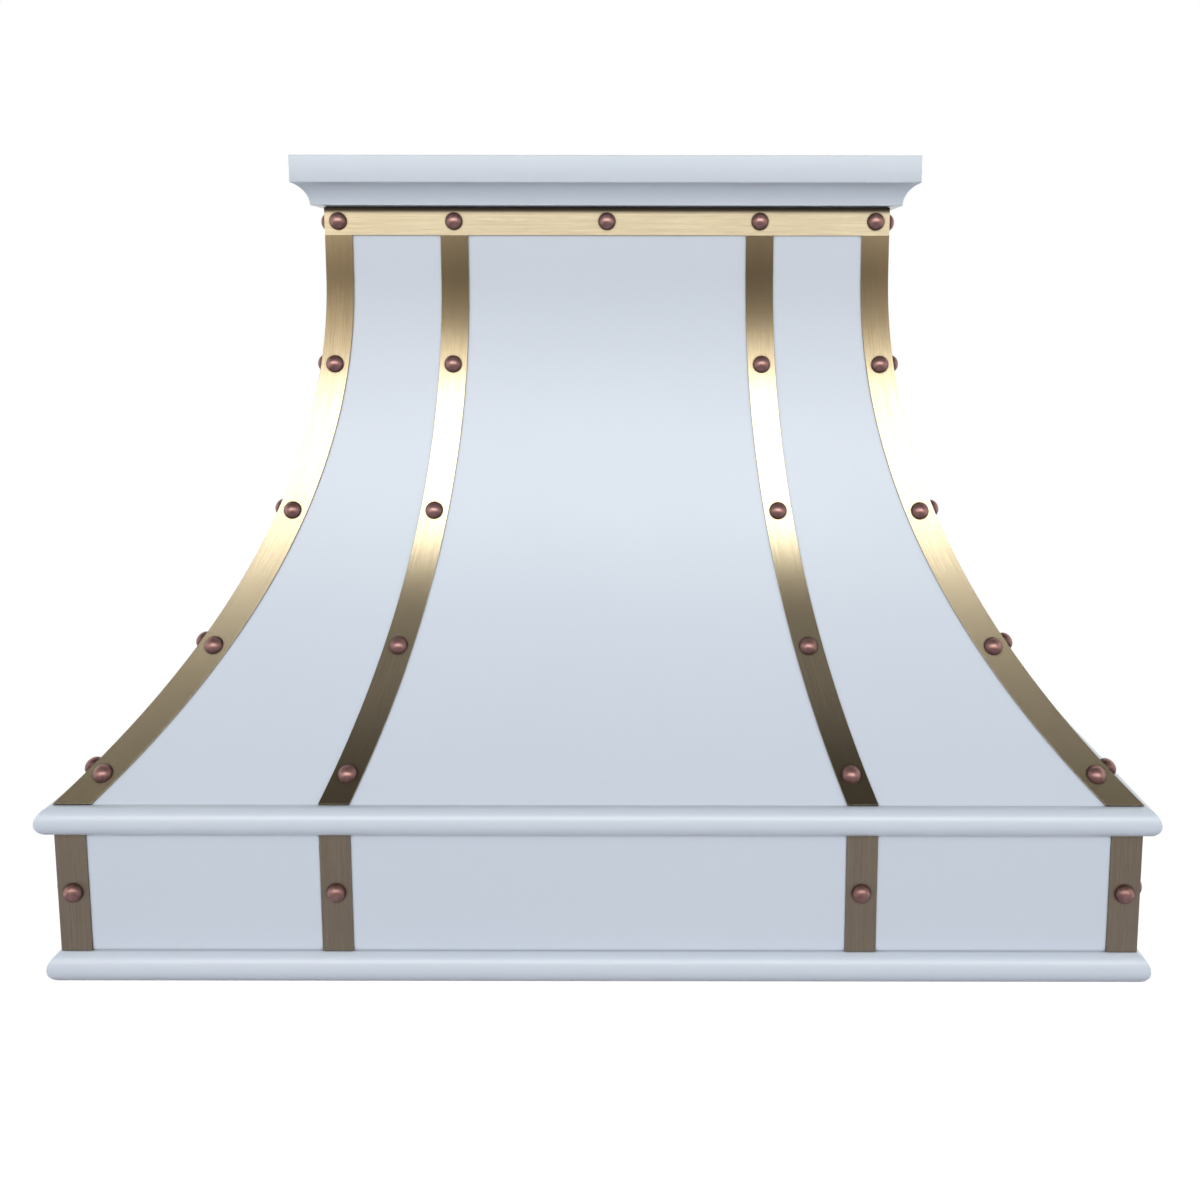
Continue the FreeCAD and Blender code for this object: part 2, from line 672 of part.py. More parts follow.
def along_fan(face, x0, x1):
    solid = face.copy()
    solid.translate(Vector(x0, 0, 0))
    return solid.extrude(Vector(x1 - x0, 0, 0)).cut(box(-SPAN, SPAN, -SPAN, SPAN, Z_OUTLET, Z_TOP))


def scroll_wrap():
    inside = scroll_face()
    return along_fan(inside.makeOffset2D(SCROLL_SHEET, 2).cut(inside), -SCROLL_HALF, SCROLL_HALF)


def scroll_side(x0, hole):
    """Side plate with straight cut edges, each touching the wrap."""
    front, rear = SCROLL_FRONT - SCROLL_SHEET, SCROLL_REAR + SCROLL_SHEET
    shoulder = FAN_HEIGHT - SCROLL_STEP / 2 + SCROLL_FIRST + SCROLL_SHEET
    corners = [Vector(0, rear, Z_OUTLET), Vector(0, front, Z_OUTLET), Vector(0, front, shoulder)]
    for centre, radius, start in scroll_arcs():
        reach = (radius + SCROLL_SHEET) / math.cos(math.radians(22.5))
        corners += [round_fan(centre, reach, start + turn) for turn in (22.5, 67.5)]
    plate = along_fan(polygon(corners), x0, x0 + SCROLL_SHEET)
    return plate.cut(cylinder(hole, FAN_AXIS + Vector(x0, 0, 0), ALONG, SCROLL_SHEET))


def wheel_plate(radius, x0):
    """Wheel plate with one flat per blade, so that the blades sit square to its edge."""
    points = ring_points(radius / math.cos(math.pi / BLADE_COUNT), BLADE_COUNT, 0)
    plate = polygon([Vector(x0, point.x, point.y) + Vector(0, FAN_Y, FAN_HEIGHT) for point in points])
    return plate.extrude(Vector(WHEEL_PLATE, 0, 0))


def impeller():
    """Back plate with its hub, front ring, and leaning blades set between them."""
    half = WHEEL_WIDTH / 2
    back = wheel_plate(WHEEL_RADIUS, half - WHEEL_PLATE)
    hub = cylinder(HUB_RADIUS, FAN_AXIS + Vector(half - HUB_LENGTH, 0, 0), ALONG, HUB_LENGTH)
    back = back.fuse(hub).removeSplitter().cut(cylinder(SHAFT_RADIUS, FAN_AXIS, ALONG, WHEEL_WIDTH))
    front = wheel_plate(WHEEL_RADIUS, -half).cut(wheel_plate(WHEEL_RADIUS - WHEEL_RIM, -half))
    blade_half = BLADE_SHARE * WHEEL_RIM / 2
    blades = []
    for number in range(BLADE_COUNT):
        blade = box(WHEEL_PLATE - half, half - WHEEL_PLATE, -BLADE / 2, BLADE / 2, -blade_half, blade_half)
        blade.rotate(Vector(0, 0, 0), ALONG, BLADE_LEAN)
        blade.translate(Vector(0, 0, WHEEL_RADIUS - WHEEL_RIM / 2))
        blade.rotate(Vector(0, 0, 0), ALONG, 360 * number / BLADE_COUNT)
        blade.translate(FAN_AXIS)
        blades.append(blade)
    return group([back, front] + blades)


MOTOR_FACE = SCROLL_HALF + SCROLL_SHEET


def drive_shaft():
    start = WHEEL_WIDTH / 2 - HUB_LENGTH
    return cylinder(SHAFT_RADIUS, FAN_AXIS + Vector(start, 0, 0), ALONG, MOTOR_FACE - SHAFT_FIT - start)


def motor():
    """Motor can on the right side plate; its closed case keeps its inside solid."""
    return cylinder(MOTOR_RADIUS, FAN_AXIS + Vector(MOTOR_FACE, 0, 0), ALONG, MOTOR_LENGTH)


def fan_brackets():
    """Folded channels that hold the scroll off the back panel."""
    z0 = FAN_HEIGHT + SCROLL_OUTLET / 2 - FAN_BRACKET_HEIGHT / 2
    y0 = SCROLL_REAR + SCROLL_SHEET
    wall = 2 * SCROLL_SHEET
    x0, x1 = FAN_BRACKET_X - FAN_BRACKET_WIDTH / 2, FAN_BRACKET_X + FAN_BRACKET_WIDTH / 2
    bracket = box(x0, x1, y0, -BACK_SHEET, z0, z0 + FAN_BRACKET_HEIGHT)
    bracket = bracket.cut(box(x0 + wall, x1, y0 + wall, -BACK_SHEET - wall, z0, z0 + FAN_BRACKET_HEIGHT))
    return group([bracket, mirrored(bracket)])


def terminal_box():
    """Closed case for the mains terminals, on the back panel."""
    x1, y0 = NECK_HALF - BOX_INSET, -BACK_SHEET - BOX_DEPTH
    x0 = x1 - BOX_LENGTH
    z0, wall = BOX_TOP - BOX_HEIGHT, BOX_SHEET
    case = box(x0, x1, y0, -BACK_SHEET, z0, BOX_TOP)
    return case.cut(box(x0 + wall, x1 - wall, y0 + wall, -BACK_SHEET - wall, z0 + wall, BOX_TOP - wall))


# Liner rails under the canopy

FILTERS_HALF = INNER_HALF - SIDE_RAIL
FILTER_STEP = (2 * FILTERS_HALF + DIVIDER) / FILTER_COUNT
FILTER_WIDTH = FILTER_STEP - DIVIDER - 2 * FILTER_CLEARANCE
OPENING_FRONT = INNER_FRONT + FRONT_RAIL
OPENING_REAR = -BACK_SHEET - REAR_RAIL
PIVOT_Y = OPENING_REAR - FILTER_SWING_GAP
FILTER_BOTTOM = LINER_BOTTOM + FILTER_RAISE
FILTER_TOP = FILTER_BOTTOM + FILTER_THICKNESS
PIVOT_Z = FILTER_BOTTOM + FILTER_THICKNESS / 2
FILTER_FRONT = OPENING_FRONT + FILTER_CLEARANCE
FILTER_REAR = PIVOT_Y + FILTER_TAIL
LIGHT_X = (CONTROL_LENGTH / 2 + FILTERS_HALF) / 2
LIGHT_Y = INNER_FRONT + FRONT_RAIL / 2
LINER_FLOOR = LINER_BOTTOM + LINER_SHEET
FRONT_FLANGE = FILTER_TOP + MAGNET_GAP + MAGNET_HEIGHT - LINER_BOTTOM


def filter_middles():
    return [(number - (FILTER_COUNT - 1) / 2) * FILTER_STEP for number in range(FILTER_COUNT)]


def light_middles():
    return [-LIGHT_X, LIGHT_X]


def button_middles():
    return [(number - (BUTTON_COUNT - 1) / 2) * BUTTON_PITCH for number in range(BUTTON_COUNT)]


def switch_half():
    return BUTTON_PITCH * BUTTON_COUNT / 2


def liner_front():
    """Front rail with the light holes and the window for the switches."""
    rail = channel_up(-FILTERS_HALF, FILTERS_HALF, INNER_FRONT, OPENING_FRONT, LINER_BOTTOM, FRONT_FLANGE,
                      LINER_SHEET, "x")
    holes = [light_block(x, 0, LINER_BOTTOM, LINER_FLOOR) for x in light_middles()]
    window = (BUTTON_WIDTH + SWITCH_MARGIN) / 2
    holes.append(box(-switch_half(), switch_half(), LIGHT_Y - window, LIGHT_Y + window,
                     LINER_BOTTOM, LINER_FLOOR))
    return rail.cut(holes)


def liner_rear():
    return channel_up(-FILTERS_HALF, FILTERS_HALF, OPENING_REAR, -BACK_SHEET, LINER_BOTTOM, LINER_FLANGE,
                      LINER_SHEET, "x")


def liner_right():
    return channel_up(FILTERS_HALF, INNER_HALF, INNER_FRONT, -BACK_SHEET, LINER_BOTTOM, LINER_FLANGE,
                      LINER_SHEET, "y")


def pivot_hole(x0, x1):
    room = PIVOT_RADIUS + PIVOT_FIT
    return box(x0, x1, PIVOT_Y - room, PIVOT_Y + room, PIVOT_Z - room, PIVOT_Z + room)


def liner_dividers():
    """Channels between the filters, pierced for the pivot rod."""
    bars = []
    for x in [middle + FILTER_STEP / 2 for middle in filter_middles()[:-1]]:
        x0, x1 = x - DIVIDER / 2, x + DIVIDER / 2
        bar = channel_up(x0, x1, OPENING_FRONT, OPENING_REAR, LINER_BOTTOM, LINER_FLANGE, LINER_SHEET, "y")
        bars.append(bar.cut(pivot_hole(x0, x1)))
    return group(bars)


def pivot_rod():
    """One rod across the hood that carries the rear edge of every filter."""
    return cylinder(PIVOT_RADIUS, Vector(-FILTERS_HALF, PIVOT_Y, PIVOT_Z), ALONG, 2 * FILTERS_HALF)


def filter_magnets():
    blocks = []
    z0 = FILTER_TOP + MAGNET_GAP
    for middle in filter_middles():
        for x in (middle - MAGNET_SPACING / 2, middle + MAGNET_SPACING / 2):
            blocks.append(box(x - MAGNET_LENGTH / 2, x + MAGNET_LENGTH / 2, OPENING_FRONT,
                              OPENING_FRONT + MAGNET_DEPTH, z0, z0 + MAGNET_HEIGHT))
    return group(blocks)


# Filters

def filter_frame(middle):
    """Four channel bars round the edge, open towards the baffles."""
    x0, x1 = middle - FILTER_WIDTH / 2, middle + FILTER_WIDTH / 2
    z0, z1 = FILTER_BOTTOM + FILTER_SHEET, FILTER_TOP - FILTER_SHEET
    bars = []
    for x, wall_x in ((x0, x0 + FILTER_SHEET), (x1 - FILTER_FLANGE, x1 - FILTER_FLANGE - FILTER_SHEET)):
        bar = box(x, x + FILTER_FLANGE, FILTER_FRONT, FILTER_REAR, FILTER_BOTTOM, FILTER_TOP)
        bar = bar.cut(box(wall_x, wall_x + FILTER_FLANGE, FILTER_FRONT, FILTER_REAR, z0, z1))
        bars.append(bar.cut(pivot_hole(x, x + FILTER_FLANGE)))
    y_rear = FILTER_REAR - REAR_FLANGE
    for y, flange, wall_y in ((FILTER_FRONT, FILTER_FLANGE, FILTER_FRONT + FILTER_SHEET),
                              (y_rear, REAR_FLANGE, y_rear - FILTER_SHEET)):
        bar = box(x0 + FILTER_FLANGE, x1 - FILTER_FLANGE, y, y + flange, FILTER_BOTTOM, FILTER_TOP)
        bars.append(bar.cut(box(x0, x1, wall_y, wall_y + flange, z0, z1)))
    return group(bars)


def filter_baffles(middle):
    """Lower troughs and upper caps that overlap, so the air has to turn twice."""
    y0, y1 = FILTER_FRONT + FILTER_SHEET, PIVOT_Y - PIVOT_RADIUS - BAFFLE_GAP
    z0, z1 = FILTER_BOTTOM + FILTER_SHEET, FILTER_TOP - FILTER_SHEET
    pitch = (FILTER_WIDTH - 2 * FILTER_FLANGE - BAFFLE_WIDTH) / (BAFFLE_COUNT - 1)
    half, cap_half = BAFFLE_WIDTH / 2, (pitch - BAFFLE_WIDTH) / 2 + BAFFLE_OVERLAP
    slats = []
    for number in range(BAFFLE_COUNT):
        x = middle + (number - (BAFFLE_COUNT - 1) / 2) * pitch
        slats.append(channel_up(x - half, x + half, y0, y1, z0, BAFFLE_LIP, FILTER_SHEET, "y"))
    for number in range(BAFFLE_COUNT - 1):
        x = middle + (number - (BAFFLE_COUNT - 2) / 2) * pitch
        cap = channel_up(x - cap_half, x + cap_half, y0, y1, 0, BAFFLE_LIP, FILTER_SHEET, "y")
        cap = cap.mirror(Vector(0, 0, 0), UP)
        cap.translate(Vector(0, 0, z1))
        slats.append(cap)
    return group(slats)


def filter_handle(middle):
    """Folded strip under the front bar of a filter, with its two corners cut off at an angle."""
    y = FILTER_FRONT + (FILTER_FLANGE - HANDLE_STRIP) / 2

    def skin(inset):
        half, low = HANDLE_WIDTH / 2 - inset, HANDLE_DROP - inset
        bend = HANDLE_BEND - inset * (2 - math.sqrt(2))
        right = [(half - bend, low), (half, low - bend), (half, 0)]
        drops = [(-x, drop) for x, drop in reversed(right)] + right
        return polygon([Vector(middle + x, y, FILTER_BOTTOM - drop) for x, drop in drops])
    return skin(0).cut(skin(HANDLE_SHEET)).extrude(Vector(0, HANDLE_STRIP, 0))


# Lights and controls

def light_block(x, margin, z0, z1):
    half, width = LIGHT_LENGTH / 2 + margin, LIGHT_WIDTH / 2 + margin
    return box(x - half, x + half, LIGHT_Y - width, LIGHT_Y + width, z0, z1)


def light_bezels():
    z0 = LINER_BOTTOM - LIGHT_FRAME_THICKNESS
    return group([light_block(x, LIGHT_FRAME, z0, LINER_BOTTOM).cut(light_block(x, 0, z0, LINER_BOTTOM))
                  for x in light_middles()])


def light_lenses():
    return group([light_block(x, 0, LINER_FLOOR - LENS, LINER_FLOOR) for x in light_middles()])


def light_modules():
    return group([light_block(x, 0, LINER_FLOOR, LINER_FLOOR + MODULE_HEIGHT) for x in light_middles()])


Z_CONTROL = LINER_BOTTOM - CONTROL_PLATE


def control_plate():
    """Cover plate under the front rail with a window for each button."""
    half, width = CONTROL_LENGTH / 2, CONTROL_WIDTH / 2
    plate = box(-half, half, LIGHT_Y - width, LIGHT_Y + width, Z_CONTROL, LINER_BOTTOM)
    room_x, room_y = BUTTON_LENGTH / 2 + BUTTON_FIT, BUTTON_WIDTH / 2 + BUTTON_FIT
    windows = [box(x - room_x, x + room_x, LIGHT_Y - room_y, LIGHT_Y + room_y, Z_CONTROL, LINER_BOTTOM)
               for x in button_middles()]
    return plate.cut(windows)


def button(x):
    """Push button: a cap with eased corners and a stem up into the switch block."""
    half, width = BUTTON_LENGTH / 2, BUTTON_WIDTH / 2
    z_low = Z_CONTROL - BUTTON_OUT
    cap = box(x - half, x + half, LIGHT_Y - width, LIGHT_Y + width, z_low, LINER_BOTTOM)
    rim = [edge for edge in cap.Edges if edge.BoundBox.ZMax < z_low + BUTTON_CORNER]
    cap = cap.makeChamfer(BUTTON_CORNER / 2, rim)
    stem = box(x - BUTTON_STEM / 2, x + BUTTON_STEM / 2, LIGHT_Y - BUTTON_STEM / 2, LIGHT_Y + BUTTON_STEM / 2,
               LINER_BOTTOM, LINER_BOTTOM + BUTTON_STEM_REACH)
    return cap.fuse(stem).removeSplitter()


def switch_block():
    """Case of the switches over the front rail, with a well for each button and its stem."""
    z0 = LINER_BOTTOM
    width = (BUTTON_WIDTH + SWITCH_MARGIN) / 2
    case = box(-switch_half(), switch_half(), LIGHT_Y - width, LIGHT_Y + width, z0, z0 + SWITCH_HEIGHT)
    wells = []
    for x in button_middles():
        room_x, room_y = BUTTON_LENGTH / 2 + BUTTON_FIT, BUTTON_WIDTH / 2 + BUTTON_FIT
        wells.append(box(x - room_x, x + room_x, LIGHT_Y - room_y, LIGHT_Y + room_y, z0,
                         z0 + BUTTON_TRAVEL + BUTTON_FIT))
        room = BUTTON_STEM / 2 + BUTTON_FIT
        wells.append(box(x - room, x + room, LIGHT_Y - room, LIGHT_Y + room, z0,
                         z0 + BUTTON_STEM_REACH + BUTTON_TRAVEL + BUTTON_FIT))
    return case.cut(wells)


# Every piece by name

def pieces():
    yield "back_panel", back_panel()
    yield "mounting_rails", mounting_rails()
    yield "front_panel", front_panel()
    yield "right_panel", right_panel()
    yield "left_panel", mirrored(right_panel())
    yield "apron_band", apron_band()
    yield "lower_moulding", round_moulding(0, LOWER_MOULDING_HEIGHT, LOWER_MOULDING_REACH)
    yield "upper_moulding", round_moulding(Z_UPPER, UPPER_MOULDING_HEIGHT, UPPER_MOULDING_REACH)
    yield "crown_moulding", crown_moulding()
    yield "top_band", top_band()
    yield "corner_strap_right", corner_strap()
    yield "corner_strap_left", mirrored(corner_strap())
    yield "inner_strap_right", inner_strap()
    yield "inner_strap_left", mirrored(inner_strap())
    yield "side_straps_right", side_straps()
    yield "side_straps_left", group([mirrored(side_straps())])
    yield "apron_straps", apron_straps()
    yield "rivets_front", rivets_front()
    yield "rivets_right", rivets_right()
    yield "rivets_left", group([mirrored(rivets_right())])
    yield "top_plate", top_plate()
    yield "duct_collar", duct_collar()
    yield "damper_bearings", damper_bearings()
    yield "damper_stops", damper_stops()
    front_axis, rear_axis = damper_axes()
    yield "damper_flap_front", damper_flap(front_axis, -1)
    yield "damper_flap_rear", damper_flap(rear_axis, 1)
    yield "plenum_duct", plenum_duct()
    yield "scroll_wrap", scroll_wrap()
    yield "scroll_inlet_side", scroll_side(-SCROLL_HALF - SCROLL_SHEET, INLET_RADIUS)
    yield "scroll_motor_side", scroll_side(SCROLL_HALF, HUB_RADIUS)
    yield "impeller", impeller()
    yield "drive_shaft", drive_shaft()
    yield "motor", motor()
    yield "fan_brackets", fan_brackets()
    yield "terminal_box", terminal_box()
    yield "liner_front", liner_front()
    yield "liner_rear", liner_rear()
    yield "liner_right", liner_right()
    yield "liner_left", mirrored(liner_right())
    yield "liner_dividers", liner_dividers()
    yield "pivot_rod", pivot_rod()
    yield "filter_magnets", filter_magnets()
    for name, middle in zip(("left", "centre", "right"), filter_middles()):
        yield "filter_frame_" + name, filter_frame(middle)
        yield "filter_baffles_" + name, filter_baffles(middle)
        yield "filter_handle_" + name, filter_handle(middle)
    yield "light_bezels", light_bezels()
    yield "light_lenses", light_lenses()
    yield "light_modules", light_modules()
    yield "control_plate", control_plate()
    yield "switch_block", switch_block()
    for name, x in zip(BUTTON_NAMES, button_middles()):
        yield "button_" + name, button(x)


os.makedirs("parts", exist_ok=True)
for node, shape in pieces():
    shape.exportStep("parts/" + node + ".step")
    print(node, len(shape.Solids), "solids, valid" if shape.isValid() else "solids, NOT VALID")
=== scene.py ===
import json
import math

import bmesh
import bpy
from mathutils import Matrix, Vector


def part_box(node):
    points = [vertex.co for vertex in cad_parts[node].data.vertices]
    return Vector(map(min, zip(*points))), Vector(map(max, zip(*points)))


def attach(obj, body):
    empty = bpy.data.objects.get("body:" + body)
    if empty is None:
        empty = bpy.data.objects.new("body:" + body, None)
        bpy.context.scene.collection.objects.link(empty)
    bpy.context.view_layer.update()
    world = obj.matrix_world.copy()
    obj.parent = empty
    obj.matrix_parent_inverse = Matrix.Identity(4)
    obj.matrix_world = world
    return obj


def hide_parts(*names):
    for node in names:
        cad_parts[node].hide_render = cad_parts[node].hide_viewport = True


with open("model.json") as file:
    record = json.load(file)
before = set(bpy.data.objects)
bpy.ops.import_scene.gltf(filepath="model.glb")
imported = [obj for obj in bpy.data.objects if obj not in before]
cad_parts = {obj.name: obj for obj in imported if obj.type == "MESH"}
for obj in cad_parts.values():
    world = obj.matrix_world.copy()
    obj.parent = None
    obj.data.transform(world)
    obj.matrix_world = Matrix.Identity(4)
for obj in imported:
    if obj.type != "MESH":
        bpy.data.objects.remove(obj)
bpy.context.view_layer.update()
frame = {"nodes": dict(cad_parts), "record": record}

# Sizes in metres, mesh counts and angles. The main sizes are read from the hood's own pieces.

BAND_LOW, BAND_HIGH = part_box("top_band")
PANEL_LOW, PANEL_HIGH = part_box("front_panel")
INNER_LOW, INNER_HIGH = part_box("inner_strap_right")
CROWN_LOW, CROWN_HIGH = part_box("crown_moulding")
STRAP = 0.002
STRAP_WIDTH = BAND_HIGH.z - BAND_LOW.z
STRAP_EASE = 0.0003
STRAP_GRID = (5, 129)
# How far below the band's top edge the crown's painted shadow on the band stays full, and where it has faded
# out.
SHADE_FULL, SHADE_END = 0.0034, 0.0094
SHEET = 0.0015
SHEET_GRID = (33, 129)
NECK_STRAIGHT = 0.0474
NECK_HALF = BAND_HIGH.x - STRAP
NECK_DEPTH = -BAND_LOW.y - STRAP
BODY_HALF = PANEL_HIGH.x
BODY_DEPTH = -PANEL_LOW.y
SWOOP = BODY_HALF - NECK_HALF
BASE_HEIGHT = PANEL_LOW.z
TANGENT_HEIGHT = BAND_LOW.z - NECK_STRAIGHT
SWOOP_DROP = TANGENT_HEIGHT - BASE_HEIGHT
SWOOP_RADIUS = (SWOOP_DROP ** 2 + SWOOP ** 2) / (2 * SWOOP)
INNER_STRAP_TOP = INNER_LOW.x + STRAP_WIDTH / 2
INNER_STRAP_BASE = INNER_HIGH.x - STRAP_WIDTH / 2
SOFFIT = 0.015
COVE_HEIGHT = 0.026
MOULDING_EASE = 0.0012
RIVET_RADIUS = 0.01075
RIVET_DOME = 0.009
WELD = 0.00001
LIGHT_PITCH = 0.02
QUARTER_TURN = math.pi / 2
BEVEL_ANGLE = math.radians(40)
SHEET_CREASE = math.radians(40)
RIVET_CREASE = math.radians(60)
MOULDING_CREASE = math.radians(28)


# Laying nodes

class Tree:
    """A node tree with short calls for adding nodes and joining their sockets."""

    def __init__(self, tree):
        self.tree = tree

    def node(self, kind, **settings):
        node = self.tree.nodes.new(kind)
        for name, value in settings.items():
            setattr(node, name, value)
        return node

    def feed(self, socket, value):
        if isinstance(value, bpy.types.NodeSocket):
            self.tree.links.new(value, socket)
        else:
            socket.default_value = value

    def fill(self, node, **values):
        """Feeds inputs by name; an underscore stands for a space."""
        for name, value in values.items():
            wanted = name.replace("_", " ")
            socket = next(s for s in node.inputs if s.enabled and s.name.lower() == wanted.lower())
            self.feed(socket, value)
        return node

    def math(self, operation, *values):
        node = self.node("ShaderNodeMath", operation=operation)
        for socket, value in zip(node.inputs, values):
            self.feed(socket, value)
        return node.outputs[0]

    def vector_math(self, operation, *values):
        node = self.node("ShaderNodeVectorMath", operation=operation)
        for socket, value in zip(node.inputs, values):
            self.feed(socket, value)
        return node.outputs[0]

    def split(self, vector):
        return self.fill(self.node("ShaderNodeSeparateXYZ"), vector=vector).outputs

    def join(self, x, y, z):
        return self.fill(self.node("ShaderNodeCombineXYZ"), x=x, y=y, z=z).outputs[0]

    def spread(self, value, low, high):
        """Carries a value from 0 to 1 over to the range from low to high."""
        node = self.node("ShaderNodeMapRange")
        return self.fill(node, value=value, to_min=low, to_max=high).outputs[0]

    def stretch(self, value, low, high):
        """Carries a value from the range from low to high over to 0 to 1."""
        node = self.node("ShaderNodeMapRange")
        return self.fill(node, value=value, from_min=low, from_max=high).outputs[0]

    def share_of(self, value, start, end):
        """Soft rise from 0 at start to 1 at end."""
        node = self.node("ShaderNodeMapRange", interpolation_type="SMOOTHSTEP")
        return self.fill(node, value=value, from_min=start, from_max=end).outputs[0]

    def between(self, share, first, second):
        """Colour between two colours."""
        node = self.node("ShaderNodeMix", data_type="RGBA")
        self.fill(node, factor=share, a=first, b=second)
        return next(s for s in node.outputs if s.enabled)

    def ramp(self, share, *stops):
        """Colour along a row of (share, colour) stops."""
        node = self.node("ShaderNodeValToRGB")
        points = node.color_ramp.elements
        while len(points) < len(stops):
            points.new(1.0)
        for point, (place, tone) in zip(points, stops):
            point.position = place
            point.color = tone
        return self.fill(node, fac=share).outputs["Color"]


def colour(red, green, blue):
    return (red, green, blue, 1.0)


# Shader groups that several finishes share

def shader_group(name, output, **inputs):
    """Group with these inputs, given as name and kind, and one value as its output."""
    group = bpy.data.node_groups.new(name, "ShaderNodeTree")
    for label, kind in inputs.items():
        group.interface.new_socket(label, in_out="INPUT", socket_type="NodeSocket" + kind)
    group.interface.new_socket(output, in_out="OUTPUT", socket_type="NodeSocketFloat")
    tree = Tree(group)
    return tree, tree.node("NodeGroupInput").outputs, tree.node("NodeGroupOutput").inputs


def cloudiness_group():
    """Slow, uneven clouds, for colour and gloss that aren't the same all over."""
    tree, given, out = shader_group("cloudiness", "Cloud", Vector="Vector", Scale="Float")
    noise = tree.node("ShaderNodeTexNoise")
    tree.fill(noise, vector=given["Vector"], scale=given["Scale"], detail=4.0, roughness=0.55)
    tree.feed(out["Cloud"], tree.stretch(noise.outputs[0], 0.3, 0.7))
    return tree.tree


def grain_group():
    """Fine, even grain for the height of paint, cast metal and plastic."""
    tree, given, out = shader_group("grain", "Grain", Vector="Vector", Scale="Float")
    noise = tree.node("ShaderNodeTexNoise")
    tree.fill(noise, vector=given["Vector"], scale=given["Scale"], detail=2.0, roughness=0.5)
    tree.feed(out["Grain"], noise.outputs[0])
    return tree.tree


def brush_lines_group():
    """Brush lines: X of the vector runs across the lines and Y along them, in metres."""
    tree, given, out = shader_group("brush_lines", "Lines", Vector="Vector", Count="Float", Length="Float")
    across = given["Count"]
    along = tree.math("DIVIDE", across, given["Length"])
    fine = tree.vector_math("MULTIPLY", given["Vector"], tree.join(across, along, across))
    coarser = 0.22
    coarse = tree.vector_math("MULTIPLY", fine, (coarser, coarser, coarser))
    first = tree.fill(tree.node("ShaderNodeTexNoise"), vector=fine, scale=1.0, detail=3.0, roughness=0.65)
    second = tree.fill(tree.node("ShaderNodeTexNoise"), vector=coarse, scale=1.0, detail=2.0, roughness=0.5)
    mixed = tree.math("ADD", tree.math("MULTIPLY", first.outputs[0], 0.6),
                      tree.math("MULTIPLY", second.outputs[0], 0.4))
    tree.feed(out["Lines"], tree.stretch(mixed, 0.3, 0.7))
    return tree.tree


def painted_joint_shade_group():
    """1 where nothing stands within Reach, down to 0 deep in a joint; finishes use it to paint shade into
    joints and corners.
    """
    tree, given, out = shader_group("painted_joint_shade", "Open", Reach="Float")
    near = tree.fill(tree.node("ShaderNodeAmbientOcclusion", samples=8), distance=given["Reach"])
    tree.feed(out["Open"], tree.stretch(near.outputs["AO"], 0.35, 0.85))
    return tree.tree


CLOUDINESS = cloudiness_group()
GRAIN = grain_group()
BRUSH_LINES = brush_lines_group()
PAINTED_JOINT_SHADE = painted_joint_shade_group()


# Finishes

class Finish(Tree):
    """A material with one Principled shader, and the shared groups ready to place."""

    def __init__(self, name):
        self.material = bpy.data.materials.new(name)
        self.material.use_nodes = True
        super().__init__(self.material.node_tree)
        self.tree.nodes.clear()
        output = self.node("ShaderNodeOutputMaterial")
        self.shader = self.node("ShaderNodeBsdfPrincipled")
        self.tree.links.new(self.shader.outputs[0], output.inputs["Surface"])
        self.place = self.node("ShaderNodeTexCoord").outputs["Object"]

    def group(self, tree, **values):
        node = self.node("ShaderNodeGroup", node_tree=tree)
        return self.fill(node, **values).outputs[0]

    def clouds(self, scale):
        return self.group(CLOUDINESS, vector=self.place, scale=scale)

    def grain(self, scale):
        return self.group(GRAIN, vector=self.place, scale=scale)

    def lines(self, vector, count, length):
        return self.group(BRUSH_LINES, vector=vector, count=count, length=length)

    # Share left out of the painted joint shade: 1 in the open, down to 0 deep in a joint.
    def open_air(self, reach):
        return self.group(PAINTED_JOINT_SHADE, reach=reach)

    def bump(self, height, strength, distance):
        node = self.fill(self.node("ShaderNodeBump"), height=height, strength=strength, distance=distance)
        self.feed(self.shader.inputs["Normal"], node.outputs[0])

    def set(self, **values):
        self.fill(self.shader, **values)


def painted_white():
    """Satin spray paint, cool white, with the faint orange peel of a sprayed coat and painted shade in its
    joints.
    """
    finish = Finish("painted_white")
    clouds = finish.clouds(2.6)
    tone = finish.between(clouds, colour(0.594, 0.660, 0.748), colour(0.606, 0.671, 0.756))
    # Painted shade: joints and corners darken towards this grey.
    joint_shade_tone = colour(0.15, 0.16, 0.19)
    finish.set(base_color=finish.between(finish.open_air(reach=0.006), joint_shade_tone, tone), ior=1.52,
               roughness=finish.spread(finish.clouds(9.0), 0.33, 0.39), coat_weight=1.0, coat_roughness=0.34)
    finish.bump(finish.grain(520.0), strength=0.05, distance=0.0006)
    return finish.material


